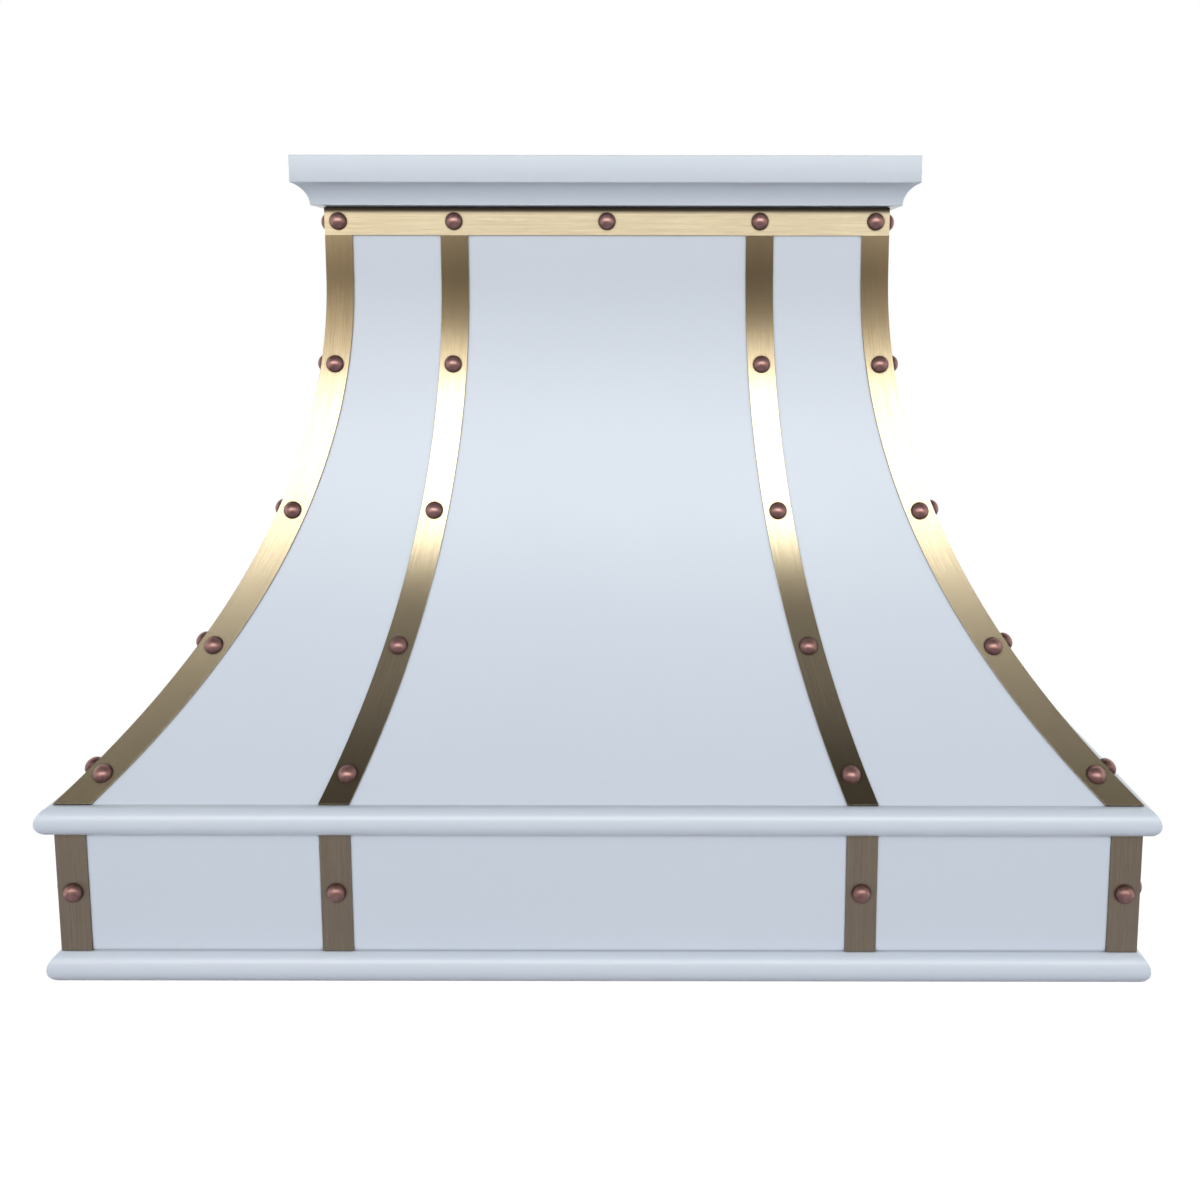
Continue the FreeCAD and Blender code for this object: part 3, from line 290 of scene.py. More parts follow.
def brushed_brass(name, brush, light, rough, smooth, turn=0.0, across_map=None, unshadowed=None):
    """Lacquered brass with brush lines; brush makes the vector that they follow. The gloss spreads across
    the lines: level by itself, up and down after a quarter turn, or the way that a map of the strap goes.
    Where the shadow mask gives 0, the brass is darkened as a painted shadow; joints are darkened with painted
    shade, and light paints each copy brighter or darker."""
    finish = Finish(name)
    lines = finish.lines(brush(finish), count=2600.0, length=60.0)
    tarnish = finish.clouds(7.0)

    # light scales the brass colour of each copy, painting it brighter or darker for how that piece is lit.
    def shade(red, green, blue):
        return colour(red * light, green * light, blue * light)

    bright = finish.between(lines, shade(0.52, 0.43, 0.285), shade(0.76, 0.65, 0.455))
    dull = finish.between(lines, shade(0.47, 0.385, 0.250), shade(0.69, 0.58, 0.400))
    brass = finish.between(tarnish, bright, dull)
    # Painted shade: joints, and the crown's shadow where a shadow mask is given, darken towards this tone.
    brass_shade_tone = colour(0.07, 0.055, 0.04)
    unshaded = finish.open_air(reach=0.012)
    if unshadowed:
        unshaded = finish.math("MINIMUM", unshaded, unshadowed(finish))
    finish.set(base_color=finish.between(unshaded, brass_shade_tone, brass), metallic=1.0,
               roughness=finish.spread(lines, rough, smooth), anisotropic=0.97, anisotropic_rotation=turn)
    if across_map:
        tangent = finish.node("ShaderNodeTangent", direction_type="UV_MAP", uv_map=across_map)
        finish.set(tangent=tangent.outputs[0])
    finish.bump(lines, strength=0.2, distance=0.00006)
    return finish.material


def along_strap(finish):
    node = finish.node("ShaderNodeAttribute", attribute_name="brush")
    return node.outputs["Vector"]


def along_band(finish):
    """Lines run round the band, so height goes across them."""
    x, y, z = finish.split(finish.place)
    return finish.join(z, finish.math("ADD", x, y), 0.0)


def below_crown(finish):
    """0 along the band's top edge, in a painted shadow of the crown, and 1 from about a centimetre below it.
    """
    height = finish.split(finish.place)["Z"]
    return finish.share_of(finish.math("SUBTRACT", BAND_HIGH.z, height), SHADE_FULL, SHADE_END)


def along_apron(finish):
    """Upright lines; width and depth both go across them."""
    x, y, z = finish.split(finish.place)
    return finish.join(finish.math("ADD", x, y), z, 0.0)


def aged_copper():
    """Dark antique copper, worn bright and smooth on top, dark and dull round the seat; the darkening towards
    the seat is partly patina and partly painted shade.
    """
    finish = Finish("aged_copper")
    worn = finish.node("ShaderNodeAttribute", attribute_name="worn").outputs["Fac"]
    clouds = finish.clouds(160.0)
    patina_and_shade = finish.between(clouds, colour(0.045, 0.022, 0.022), colour(0.085, 0.045, 0.042))
    copper = finish.between(clouds, colour(0.360, 0.190, 0.178), colour(0.500, 0.290, 0.268))
    finish.set(base_color=finish.between(worn, patina_and_shade, copper), metallic=0.8,
               roughness=finish.spread(worn, 0.55, 0.33))
    finish.bump(finish.grain(900.0), strength=0.12, distance=0.0003)
    return finish.material


def galvanised():
    """Zinc spangle: flat crystals, each with its own grey and gloss."""
    finish = Finish("galvanised")
    crystals = finish.fill(finish.node("ShaderNodeTexVoronoi"), vector=finish.place, scale=95.0)
    shade = finish.fill(finish.node("ShaderNodeSeparateColor"), color=crystals.outputs["Color"]).outputs[0]
    clouds = finish.clouds(5.0)
    zinc = finish.between(shade, colour(0.46, 0.48, 0.49), colour(0.62, 0.64, 0.65))
    worn = finish.between(finish.spread(clouds, 0.0, 0.55), zinc, colour(0.52, 0.53, 0.54))
    finish.set(base_color=worn, metallic=0.9, roughness=finish.spread(shade, 0.34, 0.52))
    finish.bump(shade, strength=0.04, distance=0.0004)
    return finish.material


def brushed_steel(name, brush, dark, light, rough, smooth):
    """Stainless sheet with brush lines."""
    finish = Finish(name)
    lines = finish.lines(brush(finish), count=1900.0, length=70.0)
    sheet = finish.between(lines, dark, light)
    smear = finish.clouds(6.0)
    finish.set(base_color=finish.between(smear, sheet, dark), metallic=1.0,
               roughness=finish.spread(lines, rough, smooth))
    finish.bump(lines, strength=0.18, distance=0.00006)
    return finish.material


def across_hood(finish):
    """Lines run along X; depth and height both go across them."""
    x, y, z = finish.split(finish.place)
    return finish.join(finish.math("ADD", y, z), x, 0.0)


def front_to_back(finish):
    """Lines run along Y; width and height both go across them."""
    x, y, z = finish.split(finish.place)
    return finish.join(finish.math("ADD", x, z), y, 0.0)


def liner_steel():
    return brushed_steel("liner_steel", across_hood, colour(0.50, 0.50, 0.49), colour(0.68, 0.68, 0.67),
                         rough=0.42, smooth=0.30)


def filter_steel():
    return brushed_steel("filter_steel", front_to_back, colour(0.54, 0.54, 0.53), colour(0.74, 0.74, 0.73),
                         rough=0.36, smooth=0.24)


def shaft_steel():
    return brushed_steel("shaft_steel", across_hood, colour(0.40, 0.40, 0.40), colour(0.58, 0.58, 0.58),
                         rough=0.34, smooth=0.24)


def grained(name, dark, light, clouds, grain, depth, roughness, metallic=0.0):
    """Plain grained surface with uneven colour: cast metal, moulded plastic and the like."""
    finish = Finish(name)
    tone = finish.between(finish.clouds(clouds), dark, light)
    vary = 0.06
    gloss = finish.spread(finish.clouds(3 * clouds), roughness - vary, roughness + vary)
    finish.set(base_color=tone, metallic=metallic, roughness=gloss)
    finish.bump(finish.grain(grain), strength=0.3, distance=depth)
    return finish.material


def fan_wheel():
    return grained("fan_wheel", colour(0.36, 0.38, 0.39), colour(0.50, 0.52, 0.53), clouds=20.0,
                   grain=700.0, depth=0.0002, roughness=0.45, metallic=1.0)


def motor_case():
    return grained("motor_case", colour(0.22, 0.23, 0.24), colour(0.34, 0.35, 0.36), clouds=24.0,
                   grain=900.0, depth=0.0004, roughness=0.55, metallic=1.0)


def magnet():
    return grained("magnet", colour(0.09, 0.09, 0.10), colour(0.16, 0.16, 0.17), clouds=60.0,
                   grain=1200.0, depth=0.0002, roughness=0.6, metallic=0.3)


def dark_plastic():
    return grained("dark_plastic", colour(0.07, 0.07, 0.08), colour(0.12, 0.12, 0.13), clouds=30.0,
                   grain=1500.0, depth=0.0002, roughness=0.55)


def button_plastic():
    return grained("button_plastic", colour(0.13, 0.13, 0.14), colour(0.19, 0.19, 0.20), clouds=45.0,
                   grain=1800.0, depth=0.0001, roughness=0.42)


def lens():
    """Frosted diffuser, dimly lit, with the row of light sources showing through."""
    finish = Finish("lens")
    across = finish.split(finish.place)["X"]
    row = finish.math("SINE", finish.math("MULTIPLY", across, 2 * math.pi / LIGHT_PITCH))
    glow = finish.spread(row, 0.3, 0.7)
    tone = finish.between(glow, colour(0.80, 0.79, 0.74), colour(0.92, 0.91, 0.87))
    finish.set(base_color=tone, roughness=finish.spread(finish.clouds(40.0), 0.42, 0.55),
               emission_color=tone, emission_strength=0.55)
    finish.bump(finish.grain(1600.0), strength=0.2, distance=0.0002)
    return finish.material


FINISHES = {
    "painted_white": painted_white(),
    "brass": brushed_brass("brass_upright", along_apron, light=1.0, rough=0.34, smooth=0.26),
    "aged_copper": aged_copper(),
    "galvanised": galvanised(),
    "liner_steel": liner_steel(),
    "filter_steel": filter_steel(),
    "fan_wheel": fan_wheel(),
    "shaft_steel": shaft_steel(),
    "motor_case": motor_case(),
    "magnet": magnet(),
    "lens": lens(),
    "dark_plastic": dark_plastic(),
    "button_plastic": button_plastic(),
}
# One brass in three copies: light darkens the straps and brightens the band as painted light and shade.
STRAP_BRASS = brushed_brass("brass_strap", along_strap, light=0.86, rough=0.255, smooth=0.185,
                            across_map="strap_map")
BAND_BRASS = brushed_brass("brass_band", along_band, light=1.12, rough=0.36, smooth=0.27, turn=0.25,
                           unshadowed=below_crown)


def finish_cad_nodes():
    """Every CAD piece gets its slot's finish; the top band is brushed the other way from the apron straps,
    painted brighter, and carries a painted shadow of the crown along its top edge.
    """
    for subpart in frame["record"]["subparts"]:
        piece = frame["nodes"][subpart["node"]]
        finish = FINISHES[subpart["material_slot"]]
        if subpart["node"] == "top_band":
            finish = BAND_BRASS
        for slot in piece.material_slots:
            slot.material = finish


# Geometry trees

def geometry_tree(name, inputs):
    """Tree whose inputs are given as (name, kind); a piece of geometry goes in first and comes out."""
    group = bpy.data.node_groups.new(name, "GeometryNodeTree")
    group.interface.new_socket("Geometry", in_out="INPUT", socket_type="NodeSocketGeometry")
    for label, kind in inputs:
        group.interface.new_socket(label, in_out="INPUT", socket_type="NodeSocket" + kind)
    group.interface.new_socket("Geometry", in_out="OUTPUT", socket_type="NodeSocketGeometry")
    tree = Tree(group)
    return tree, tree.node("NodeGroupInput").outputs, tree.node("NodeGroupOutput").inputs


def finish_tree(tree, geometry, given, out):
    """Last nodes of every tree: real geometry, smooth shading, and the finish."""
    real = tree.fill(tree.node("GeometryNodeRealizeInstances"), geometry=geometry).outputs[0]
    smooth = tree.fill(tree.node("GeometryNodeSetShadeSmooth"), geometry=real).outputs[0]
    done = tree.fill(tree.node("GeometryNodeSetMaterial"), geometry=smooth, material=given["Material"])
    tree.feed(out["Geometry"], done.outputs[0])
    return tree.tree


BELL_INPUTS = [("Swoop Radius", "Float"), ("Tangent Height", "Float"), ("Base Height", "Float"),
               ("Top Height", "Float"), ("Neck Distance", "Float"), ("Turn", "Float"),
               ("Material", "Material")]
BELL_VALUES = {"Swoop Radius": SWOOP_RADIUS, "Tangent Height": TANGENT_HEIGHT, "Base Height": BASE_HEIGHT}


def bell_rule(tree, given, up):
    """Height, drop below the straight neck, and distance out from the neck, where up goes from 0 to 1."""
    rise = tree.math("SUBTRACT", given["Top Height"], given["Base Height"])
    height = tree.math("MULTIPLY_ADD", up, rise, given["Base Height"])
    drop = tree.math("MAXIMUM", tree.math("SUBTRACT", given["Tangent Height"], height), 0.0)
    radius = given["Swoop Radius"]
    rest = tree.math("SUBTRACT", tree.math("MULTIPLY", radius, radius), tree.math("MULTIPLY", drop, drop))
    outward = tree.math("SUBTRACT", radius, tree.math("SQRT", rest))
    return height, drop, outward


def unit_grid(tree, across, up):
    """Grid whose position nodes give shares from 0 to 1."""
    grid = tree.node("GeometryNodeMeshGrid")
    tree.fill(grid, size_x=1.0, size_y=1.0, vertices_x=across, vertices_y=up)
    place = tree.split(tree.node("GeometryNodeInputPosition").outputs[0])
    return grid.outputs, tree.math("ADD", place["X"], 0.5), tree.math("ADD", place["Y"], 0.5)


def onto_panel(tree, given, along, outward, height):
    """Point on the front of the bell, turned to the side that Turn names."""
    out = tree.math("ADD", given["Neck Distance"], outward)
    point = tree.join(along, tree.math("MULTIPLY", out, -1.0), height)
    turn = tree.node("ShaderNodeVectorRotate", rotation_type="Z_AXIS")
    return tree.fill(turn, vector=point, angle=given["Turn"]).outputs[0]


def bell_sheet_tree():
    """One side of the bell: it spreads sideways as far as it swings outward."""
    inputs = BELL_INPUTS + [("Neck Half", "Float"), ("From", "Float"), ("To", "Float")]
    tree, given, out = geometry_tree("bell_sheet", inputs)
    grid, across, up = unit_grid(tree, *SHEET_GRID)
    height, _, outward = bell_rule(tree, given, up)
    reach = tree.math("SUBTRACT", given["To"], given["From"])
    share = tree.math("MULTIPLY_ADD", across, reach, given["From"])
    along = tree.math("MULTIPLY", share, tree.math("ADD", given["Neck Half"], outward))
    place = onto_panel(tree, given, along, outward, height)
    sheet = tree.node("GeometryNodeSetPosition")
    tree.fill(sheet, geometry=grid["Mesh"], position=place)
    return finish_tree(tree, sheet.outputs[0], given, out)


def bell_strap_tree():
    """Strap on one side of the bell. Middle is where it starts at the neck, Spread how much of the swing it
    follows sideways, and Hang is 1 where Middle names the strap's outer edge. Slant widens it on the bias."""
    inputs = BELL_INPUTS + [("Middle", "Float"), ("Spread", "Float"), ("Hang", "Float"), ("Slant", "Float"),
                            ("Side", "Float"), ("Width", "Float")]
    tree, given, out = geometry_tree("bell_strap", inputs)
    grid, across, up = unit_grid(tree, *STRAP_GRID)
    height, drop, outward = bell_rule(tree, given, up)
    lean = tree.math("DIVIDE", drop, given["Swoop Radius"])
    bias = tree.math("MULTIPLY", given["Slant"], tree.math("MULTIPLY", lean, lean))
    width = tree.math("MULTIPLY", given["Width"], tree.math("SQRT", tree.math("ADD", bias, 1.0)))
    hang = tree.math("MULTIPLY", tree.math("MULTIPLY", width, 0.5), given["Hang"])
    middle = tree.math("SUBTRACT", tree.math("MULTIPLY_ADD", given["Spread"], outward, given["Middle"]), hang)
    from_middle = tree.math("MULTIPLY", tree.math("SUBTRACT", across, 0.5), width)
    along = tree.math("MULTIPLY_ADD", middle, given["Side"], from_middle)
    place = onto_panel(tree, given, along, outward, height)
    slope = tree.math("MULTIPLY", tree.math("MULTIPLY", lean, given["Spread"]), given["Side"])
    level = tree.math("DIVIDE", 1.0, tree.math("SQRT", tree.math("MULTIPLY_ADD", slope, slope, 1.0)))
    crosswise = tree.math("MULTIPLY", from_middle, level)
    arc = tree.math("MULTIPLY", tree.math("ARCSINE", lean), given["Swoop Radius"])
    straight = tree.math("MAXIMUM", tree.math("SUBTRACT", height, given["Tangent Height"]), 0.0)
    lengthwise = tree.math("MULTIPLY_ADD", crosswise, slope, tree.math("SUBTRACT", arc, straight))
    brush = tree.node("GeometryNodeStoreNamedAttribute", data_type="FLOAT_VECTOR", domain="POINT")
    tree.fill(brush, geometry=grid["Mesh"], name="brush",
              value=tree.join(crosswise, lengthwise, given["Middle"]))
    across_map = tree.node("GeometryNodeStoreNamedAttribute", data_type="FLOAT2", domain="CORNER")
    tree.fill(across_map, geometry=brush.outputs[0], name="strap_map",
              value=tree.join(crosswise, lengthwise, 0.0))
    strap = tree.node("GeometryNodeSetPosition")
    tree.fill(strap, geometry=across_map.outputs[0], position=place)
    return finish_tree(tree, strap.outputs[0], given, out)


def rivet_heads_tree():
    """A dome on every point, standing the way the point faces."""
    inputs = [("Radius", "Float"), ("Dome", "Float"), ("Material", "Material")]
    tree, given, out = geometry_tree("rivet_heads", inputs)
    ball = tree.node("GeometryNodeMeshUVSphere")
    tree.fill(ball, segments=32, rings=24, radius=given["Radius"])
    x, y, z = tree.split(tree.node("GeometryNodeInputPosition").outputs[0])
    squash = tree.math("DIVIDE", given["Dome"], given["Radius"])
    upper = tree.math("MULTIPLY", tree.math("MAXIMUM", z, 0.0), squash)
    # worn runs from 0 at the seat to 1 on top of the dome; the copper reads it for wear and patina, and for
    # painted shade round the seat.
    worn = tree.node("GeometryNodeStoreNamedAttribute", data_type="FLOAT", domain="POINT")
    height = tree.math("MAXIMUM", tree.math("DIVIDE", z, given["Radius"]), 0.0)
    tree.fill(worn, geometry=ball.outputs["Mesh"], name="worn", value=height)
    dome = tree.node("GeometryNodeSetPosition")
    tree.fill(dome, geometry=worn.outputs[0], position=tree.join(x, y, upper))
    facing = tree.node("GeometryNodeInputNamedAttribute", data_type="FLOAT_VECTOR")
    tree.fill(facing, name="facing")
    upright = tree.node("FunctionNodeAlignRotationToVector", axis="Z")
    tree.fill(upright, vector=facing.outputs["Attribute"])
    heads = tree.node("GeometryNodeInstanceOnPoints")
    tree.fill(heads, points=given["Geometry"], instance=dome.outputs[0], rotation=upright.outputs[0])
    return finish_tree(tree, heads.outputs[0], given, out)


def make(name, tree, values, mesh=None, thicken=0.0, ease=0.0):
    """Runs a tree once and keeps the result as a plain mesh. A positive thicken grows the sheet outwards."""
    piece = bpy.data.objects.new(name, mesh or bpy.data.meshes.new(name))
    bpy.context.scene.collection.objects.link(piece)
    nodes = piece.modifiers.new("tree", "NODES")
    nodes.node_group = tree
    for item in tree.interface.items_tree:
        if item.item_type == "SOCKET" and item.in_out == "INPUT" and item.name in values:
            nodes[item.identifier] = values[item.name]
    if thicken:
        wall = piece.modifiers.new("wall", "SOLIDIFY")
        wall.thickness = abs(thicken)
        wall.offset = math.copysign(1.0, thicken)
    if ease:
        edge = piece.modifiers.new("edge", "BEVEL")
        edge.width = ease
        edge.segments = 2
        edge.limit_method = "ANGLE"
        edge.angle_limit = BEVEL_ANGLE
        edge.harden_normals = True
    graph = bpy.context.evaluated_depsgraph_get()
    result = bpy.data.meshes.new_from_object(piece.evaluated_get(graph), preserve_all_data_layers=True,
                                             depsgraph=graph)
    piece.modifiers.clear()
    piece.data = result
    result.name = name
    return piece


def joined(name, pieces):
    """One object from several, for a node that holds several solids."""
    work = bmesh.new()
    for piece in pieces:
        work.from_mesh(piece.data)
    mesh = bpy.data.meshes.new(name)
    work.to_mesh(mesh)
    work.free()
    for finish in pieces[0].data.materials:
        mesh.materials.append(finish)
    for piece in pieces:
        bpy.data.objects.remove(piece)
    done = bpy.data.objects.new(name, mesh)
    bpy.context.scene.collection.objects.link(done)
    return done


def settle(piece, slot, *nodes):
    """The piece rides on the hood in place of these nodes."""
    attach(piece, "hood")
    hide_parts(*nodes)


# Bell

def bell_sheets():
    """Front and side sheets, each one smooth swoop."""
    tree = bell_sheet_tree()
    sides = {"front": (0.0, -1.0, 1.0, NECK_DEPTH, NECK_HALF),
             "right": (QUARTER_TURN, -1.0, 0.0, NECK_HALF, NECK_DEPTH),
             "left": (-QUARTER_TURN, 0.0, 1.0, NECK_HALF, NECK_DEPTH)}
    for side, (turn, start, end, distance, half) in sides.items():
        values = dict(BELL_VALUES, Turn=turn, From=start, To=end, Material=FINISHES["painted_white"])
        values.update({"Top Height": PANEL_HIGH.z, "Neck Distance": distance, "Neck Half": half})
        sheet = make("bell_sheet_" + side, tree, values, thicken=-SHEET)
        sheet.data.set_sharp_from_angle(angle=SHEET_CREASE)
        settle(sheet, "painted_white", side + "_panel")


def bell_straps():
    """Corner and inner straps down the front, and the straps down both sides."""
    tree = bell_strap_tree()

    def strap(name, side, turn, distance, middle, spread=1.0, hang=1.0, slant=1.0):
        values = dict(BELL_VALUES, Turn=turn, Side=side, Middle=middle, Spread=spread, Hang=hang, Slant=slant,
                      Width=STRAP_WIDTH, Material=STRAP_BRASS)
        values.update({"Top Height": BAND_LOW.z, "Neck Distance": distance})
        return make(name, tree, values, thicken=STRAP, ease=STRAP_EASE)

    inner_spread = (INNER_STRAP_BASE - INNER_STRAP_TOP) / SWOOP
    for name, side in (("right", 1.0), ("left", -1.0)):
        corner = strap("strap_corner_" + name, side, 0.0, NECK_DEPTH, NECK_HALF + STRAP)
        settle(corner, "brass", "corner_strap_" + name)
        inner = strap("strap_inner_" + name, side, 0.0, NECK_DEPTH, INNER_STRAP_TOP, spread=inner_spread,
                      hang=0.0, slant=0.0)
        settle(inner, "brass", "inner_strap_" + name)
        turn = side * QUARTER_TURN
        front = strap("strap_side_front", -side, turn, NECK_HALF, NECK_DEPTH)
        rear = strap("strap_side_rear", -side, turn, NECK_HALF, STRAP_WIDTH / 2, spread=0.0, hang=0.0,
                     slant=0.0)
        settle(joined("straps_side_" + name, [front, rear]), "brass", "side_straps_" + name)


# Rivets

def islands(work):
    """Groups of faces that hang together."""
    left = set(work.faces)
    while left:
        group, edge = set(), [left.pop()]
        while edge:
            face = edge.pop()
            group.add(face)
            near = {other for side in face.edges for other in side.link_faces} & left
            left -= near
            edge.extend(near)
        yield group


def rivet_seats(node):
    """Middle of each rivet's flat seat, and the way the dome stands on it."""
    work = bmesh.new()
    work.from_mesh(frame["nodes"][node].data)
    bmesh.ops.remove_doubles(work, verts=work.verts, dist=WELD)
    seats = []
    for group in islands(work):
        flats = {}
        for face in group:
            key = tuple(round(part, 2) for part in face.normal)
            flats.setdefault(key, []).append(face)
        seat = max(flats.values(), key=lambda faces: sum(face.calc_area() for face in faces))
        area = sum(face.calc_area() for face in seat)
        middle = sum((face.calc_center_median() * face.calc_area() for face in seat), Vector()) / area
        seats.append((middle, -seat[0].normal.copy()))
    work.free()
    return seats


def rivets():
    """Smooth domes on the seats of the CAD rivets."""
    tree = rivet_heads_tree()
    values = {"Radius": RIVET_RADIUS, "Dome": RIVET_DOME, "Material": FINISHES["aged_copper"]}
    for side in ("front", "right", "left"):
        seats = rivet_seats("rivets_" + side)
        points = bpy.data.meshes.new("rivet_points_" + side)
        points.from_pydata([middle for middle, facing in seats], [], [])
        facings = points.attributes.new("facing", "FLOAT_VECTOR", "POINT")
        for entry, (middle, facing) in zip(facings.data, seats):
            entry.vector = facing
        heads = make("rivet_heads_" + side, tree, values, points)
        heads.data.set_sharp_from_angle(angle=RIVET_CREASE)
        settle(heads, "aged_copper", "rivets_" + side)


# Mouldings

def mitred_run(name, section, half, depth):
    """Closed section, as (reach, height) points, run round both sides and the front with mitred corners."""
    work = bmesh.new()
    rows = []
    for reach, height in section:
        x, y = half + reach, -(depth + reach)
        stops = ((-x, 0.0), (-x, y), (x, y), (x, 0.0))
        rows.append([work.verts.new((stop_x, stop_y, height)) for stop_x, stop_y in stops])
    for first, second in zip(rows, rows[1:] + rows[:1]):
        for stop in range(len(first) - 1):
            work.faces.new((first[stop], first[stop + 1], second[stop + 1], second[stop]))
    work.faces.new([row[0] for row in rows])
    work.faces.new([row[-1] for row in rows])
    bmesh.ops.recalc_face_normals(work, faces=work.faces)
    mesh = bpy.data.meshes.new(name)
    work.to_mesh(mesh)
    work.free()
    mesh.shade_smooth()
    mesh.set_sharp_from_angle(angle=MOULDING_CREASE)
    mesh.materials.append(FINISHES["painted_white"])
    piece = bpy.data.objects.new(name, mesh)
    bpy.context.scene.collection.objects.link(piece)
    return piece


def eased_corner(before, corner, after, ease, steps=4):
    """Points of a small round from one side of a corner to the other."""
    start = corner + (before - corner).normalized() * ease
    end = corner + (after - corner).normalized() * ease
    points = []
    for step in range(steps + 1):
        share = step / steps
        first, second = start.lerp(corner, share), corner.lerp(end, share)
        points.append(first.lerp(second, share))
    return points


def round_moulding(node, name):
    """Smooth arc against the body, standing out as far as its node does."""
    low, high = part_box(node)
    half, middle = (high.z - low.z) / 2, (high.z + low.z) / 2
    reach = high.x - BODY_HALF
    radius = (half ** 2 + reach ** 2) / (2 * reach)
    turn = math.asin(min(half / radius, 1.0))
    steps = 40
    section = []
    for step in range(steps + 1):
        angle = turn * (2 * step / steps - 1)
        section.append((reach - radius + radius * math.cos(angle), middle + radius * math.sin(angle)))
    settle(mitred_run(name, section, BODY_HALF, BODY_DEPTH), "painted_white", node)


def crown():
    """Soffit, lip, cove and fascia with painted-over edges."""
    reach, bottom, top = CROWN_HIGH.x - NECK_HALF, CROWN_LOW.z, CROWN_HIGH.z
    run = reach - SOFFIT
    cove_radius = (run ** 2 + COVE_HEIGHT ** 2) / (2 * run)
    turn = math.asin(COVE_HEIGHT / cove_radius)
    steps = 16
    cove = []
    for step in range(steps + 1):
        angle = turn * step / steps
        cove.append(Vector((SOFFIT + cove_radius * (1 - math.cos(angle)),
                            bottom + cove_radius * math.sin(angle))))
    inner_low, inner_top = Vector((0.0, bottom)), Vector((0.0, top))
    fascia_top = Vector((reach, top))
    section = [inner_low]
    section += eased_corner(inner_low, cove[0], cove[1], MOULDING_EASE)
    section += cove[1:-1]
    section += eased_corner(cove[-2], cove[-1], fascia_top, MOULDING_EASE)
    section += eased_corner(cove[-1], fascia_top, inner_top, MOULDING_EASE)
    section.append(inner_top)
    points = [(point.x, point.y) for point in section]
    settle(mitred_run("crown", points, NECK_HALF, NECK_DEPTH), "painted_white", "crown_moulding")


# Studio

FLOOR_HEIGHT = -1.65
FLOOR_HALF = 14.0
FLOOR_WHITE = 0.96
SOFTBOX_Y = -3.1
SOFTBOX_LOW = 1.375
SOFTBOX_TOP = 2.43
SOFTBOX_WIDTH = 4.2
SOFTBOX_POWER = 45.0
FILL_HEIGHT = 0.15
FILL_SIZE = (4.0, 1.2)
FILL_POWER = 12.0
FILL_SPREAD = math.radians(70)
SIDE_DISTANCE = 3.4
SIDE_Y = 0.3
SIDE_HEIGHT = 0.6
SIDE_SIZE = (1.6, 1.6)
SIDE_POWER = 34.0
SKY_LEVEL = 0.22
SKY_OVERHEAD = 0.52
FLAG_HALF = 4.5
LOW_FLAG_Y = -2.6
LOW_FLAG_TOP = 1.20
TOP_FLAG_Y = 1.0
TOP_FLAG_TOP = 3.3
FLOOR_FLAG_Y = 0.8
FLOOR_FLAG_HEIGHT = FLOOR_HEIGHT + 0.01


def flat_card(name, half, near, far, finish):
    """Card with half its width on each side of the middle, from one (y, z) edge to the other."""
    corners = [(-half, *near), (half, *near), (half, *far), (-half, *far)]
    mesh = bpy.data.meshes.new(name)
    mesh.from_pydata(corners, [], [tuple(range(len(corners)))])
    mesh.materials.append(finish)
    card = bpy.data.objects.new(name, mesh)
    bpy.context.scene.collection.objects.link(card)
    return card


def looked_at(tree):
    """1 where the camera looks, or metal or glass that shows what lies behind it."""
    path = tree.node("ShaderNodeLightPath").outputs
    through = tree.math("MAXIMUM", path["Is Glossy Ray"], path["Is Transmission Ray"])
    return tree.math("MAXIMUM", path["Is Camera Ray"], through)


def floor_finish():
    """Pale matt floor that shows as white to the camera where nothing shades it."""
    finish = Finish("studio_floor")
    tone = finish.between(finish.clouds(0.8), colour(0.07, 0.07, 0.07), colour(0.09, 0.09, 0.09))
    finish.set(base_color=tone, roughness=0.9, emission_color=colour(1.0, 1.0, 1.0),
               emission_strength=finish.math("MULTIPLY", looked_at(finish), FLOOR_WHITE))
    finish.bump(finish.grain(60.0), strength=0.05, distance=0.002)
    return finish.material


def flag_finish(name, tone):
    """Card that only reflections show; tone lays out how bright it is in them."""
    finish = Finish(name)
    finish.set(base_color=colour(0.02, 0.02, 0.02), roughness=0.95, emission_strength=1.0,
               emission_color=tone(finish))
    return finish.material


def low_flag_tone(finish):
    """Cool grey foot, a dark warm middle that is paler on both sides, and a soft bright top edge."""
    place = finish.split(finish.place)
    above = finish.math("SUBTRACT", place["Z"], FLOOR_HEIGHT)
    rise = finish.math("DIVIDE", above, LOW_FLAG_TOP - FLOOR_HEIGHT)
    dark = colour(0.030, 0.022, 0.016)
    upright = finish.ramp(rise, (0.0, colour(0.25, 0.24, 0.28)), (0.42, colour(0.26, 0.25, 0.29)),
                          (0.78, dark), (0.94, dark), (1.0, colour(2.5, 2.38, 2.12)))
    beside = finish.math("MULTIPLY", finish.share_of(finish.math("ABSOLUTE", place["X"]), 0.82, 1.10),
                         finish.share_of(rise, 0.55, 0.85))
    warm = colour(0.68, 0.57, 0.45)
    sides = finish.ramp(rise, (0.0, warm), (0.89, warm), (1.0, colour(2.5, 2.28, 1.92)))
    return finish.between(beside, upright, sides)


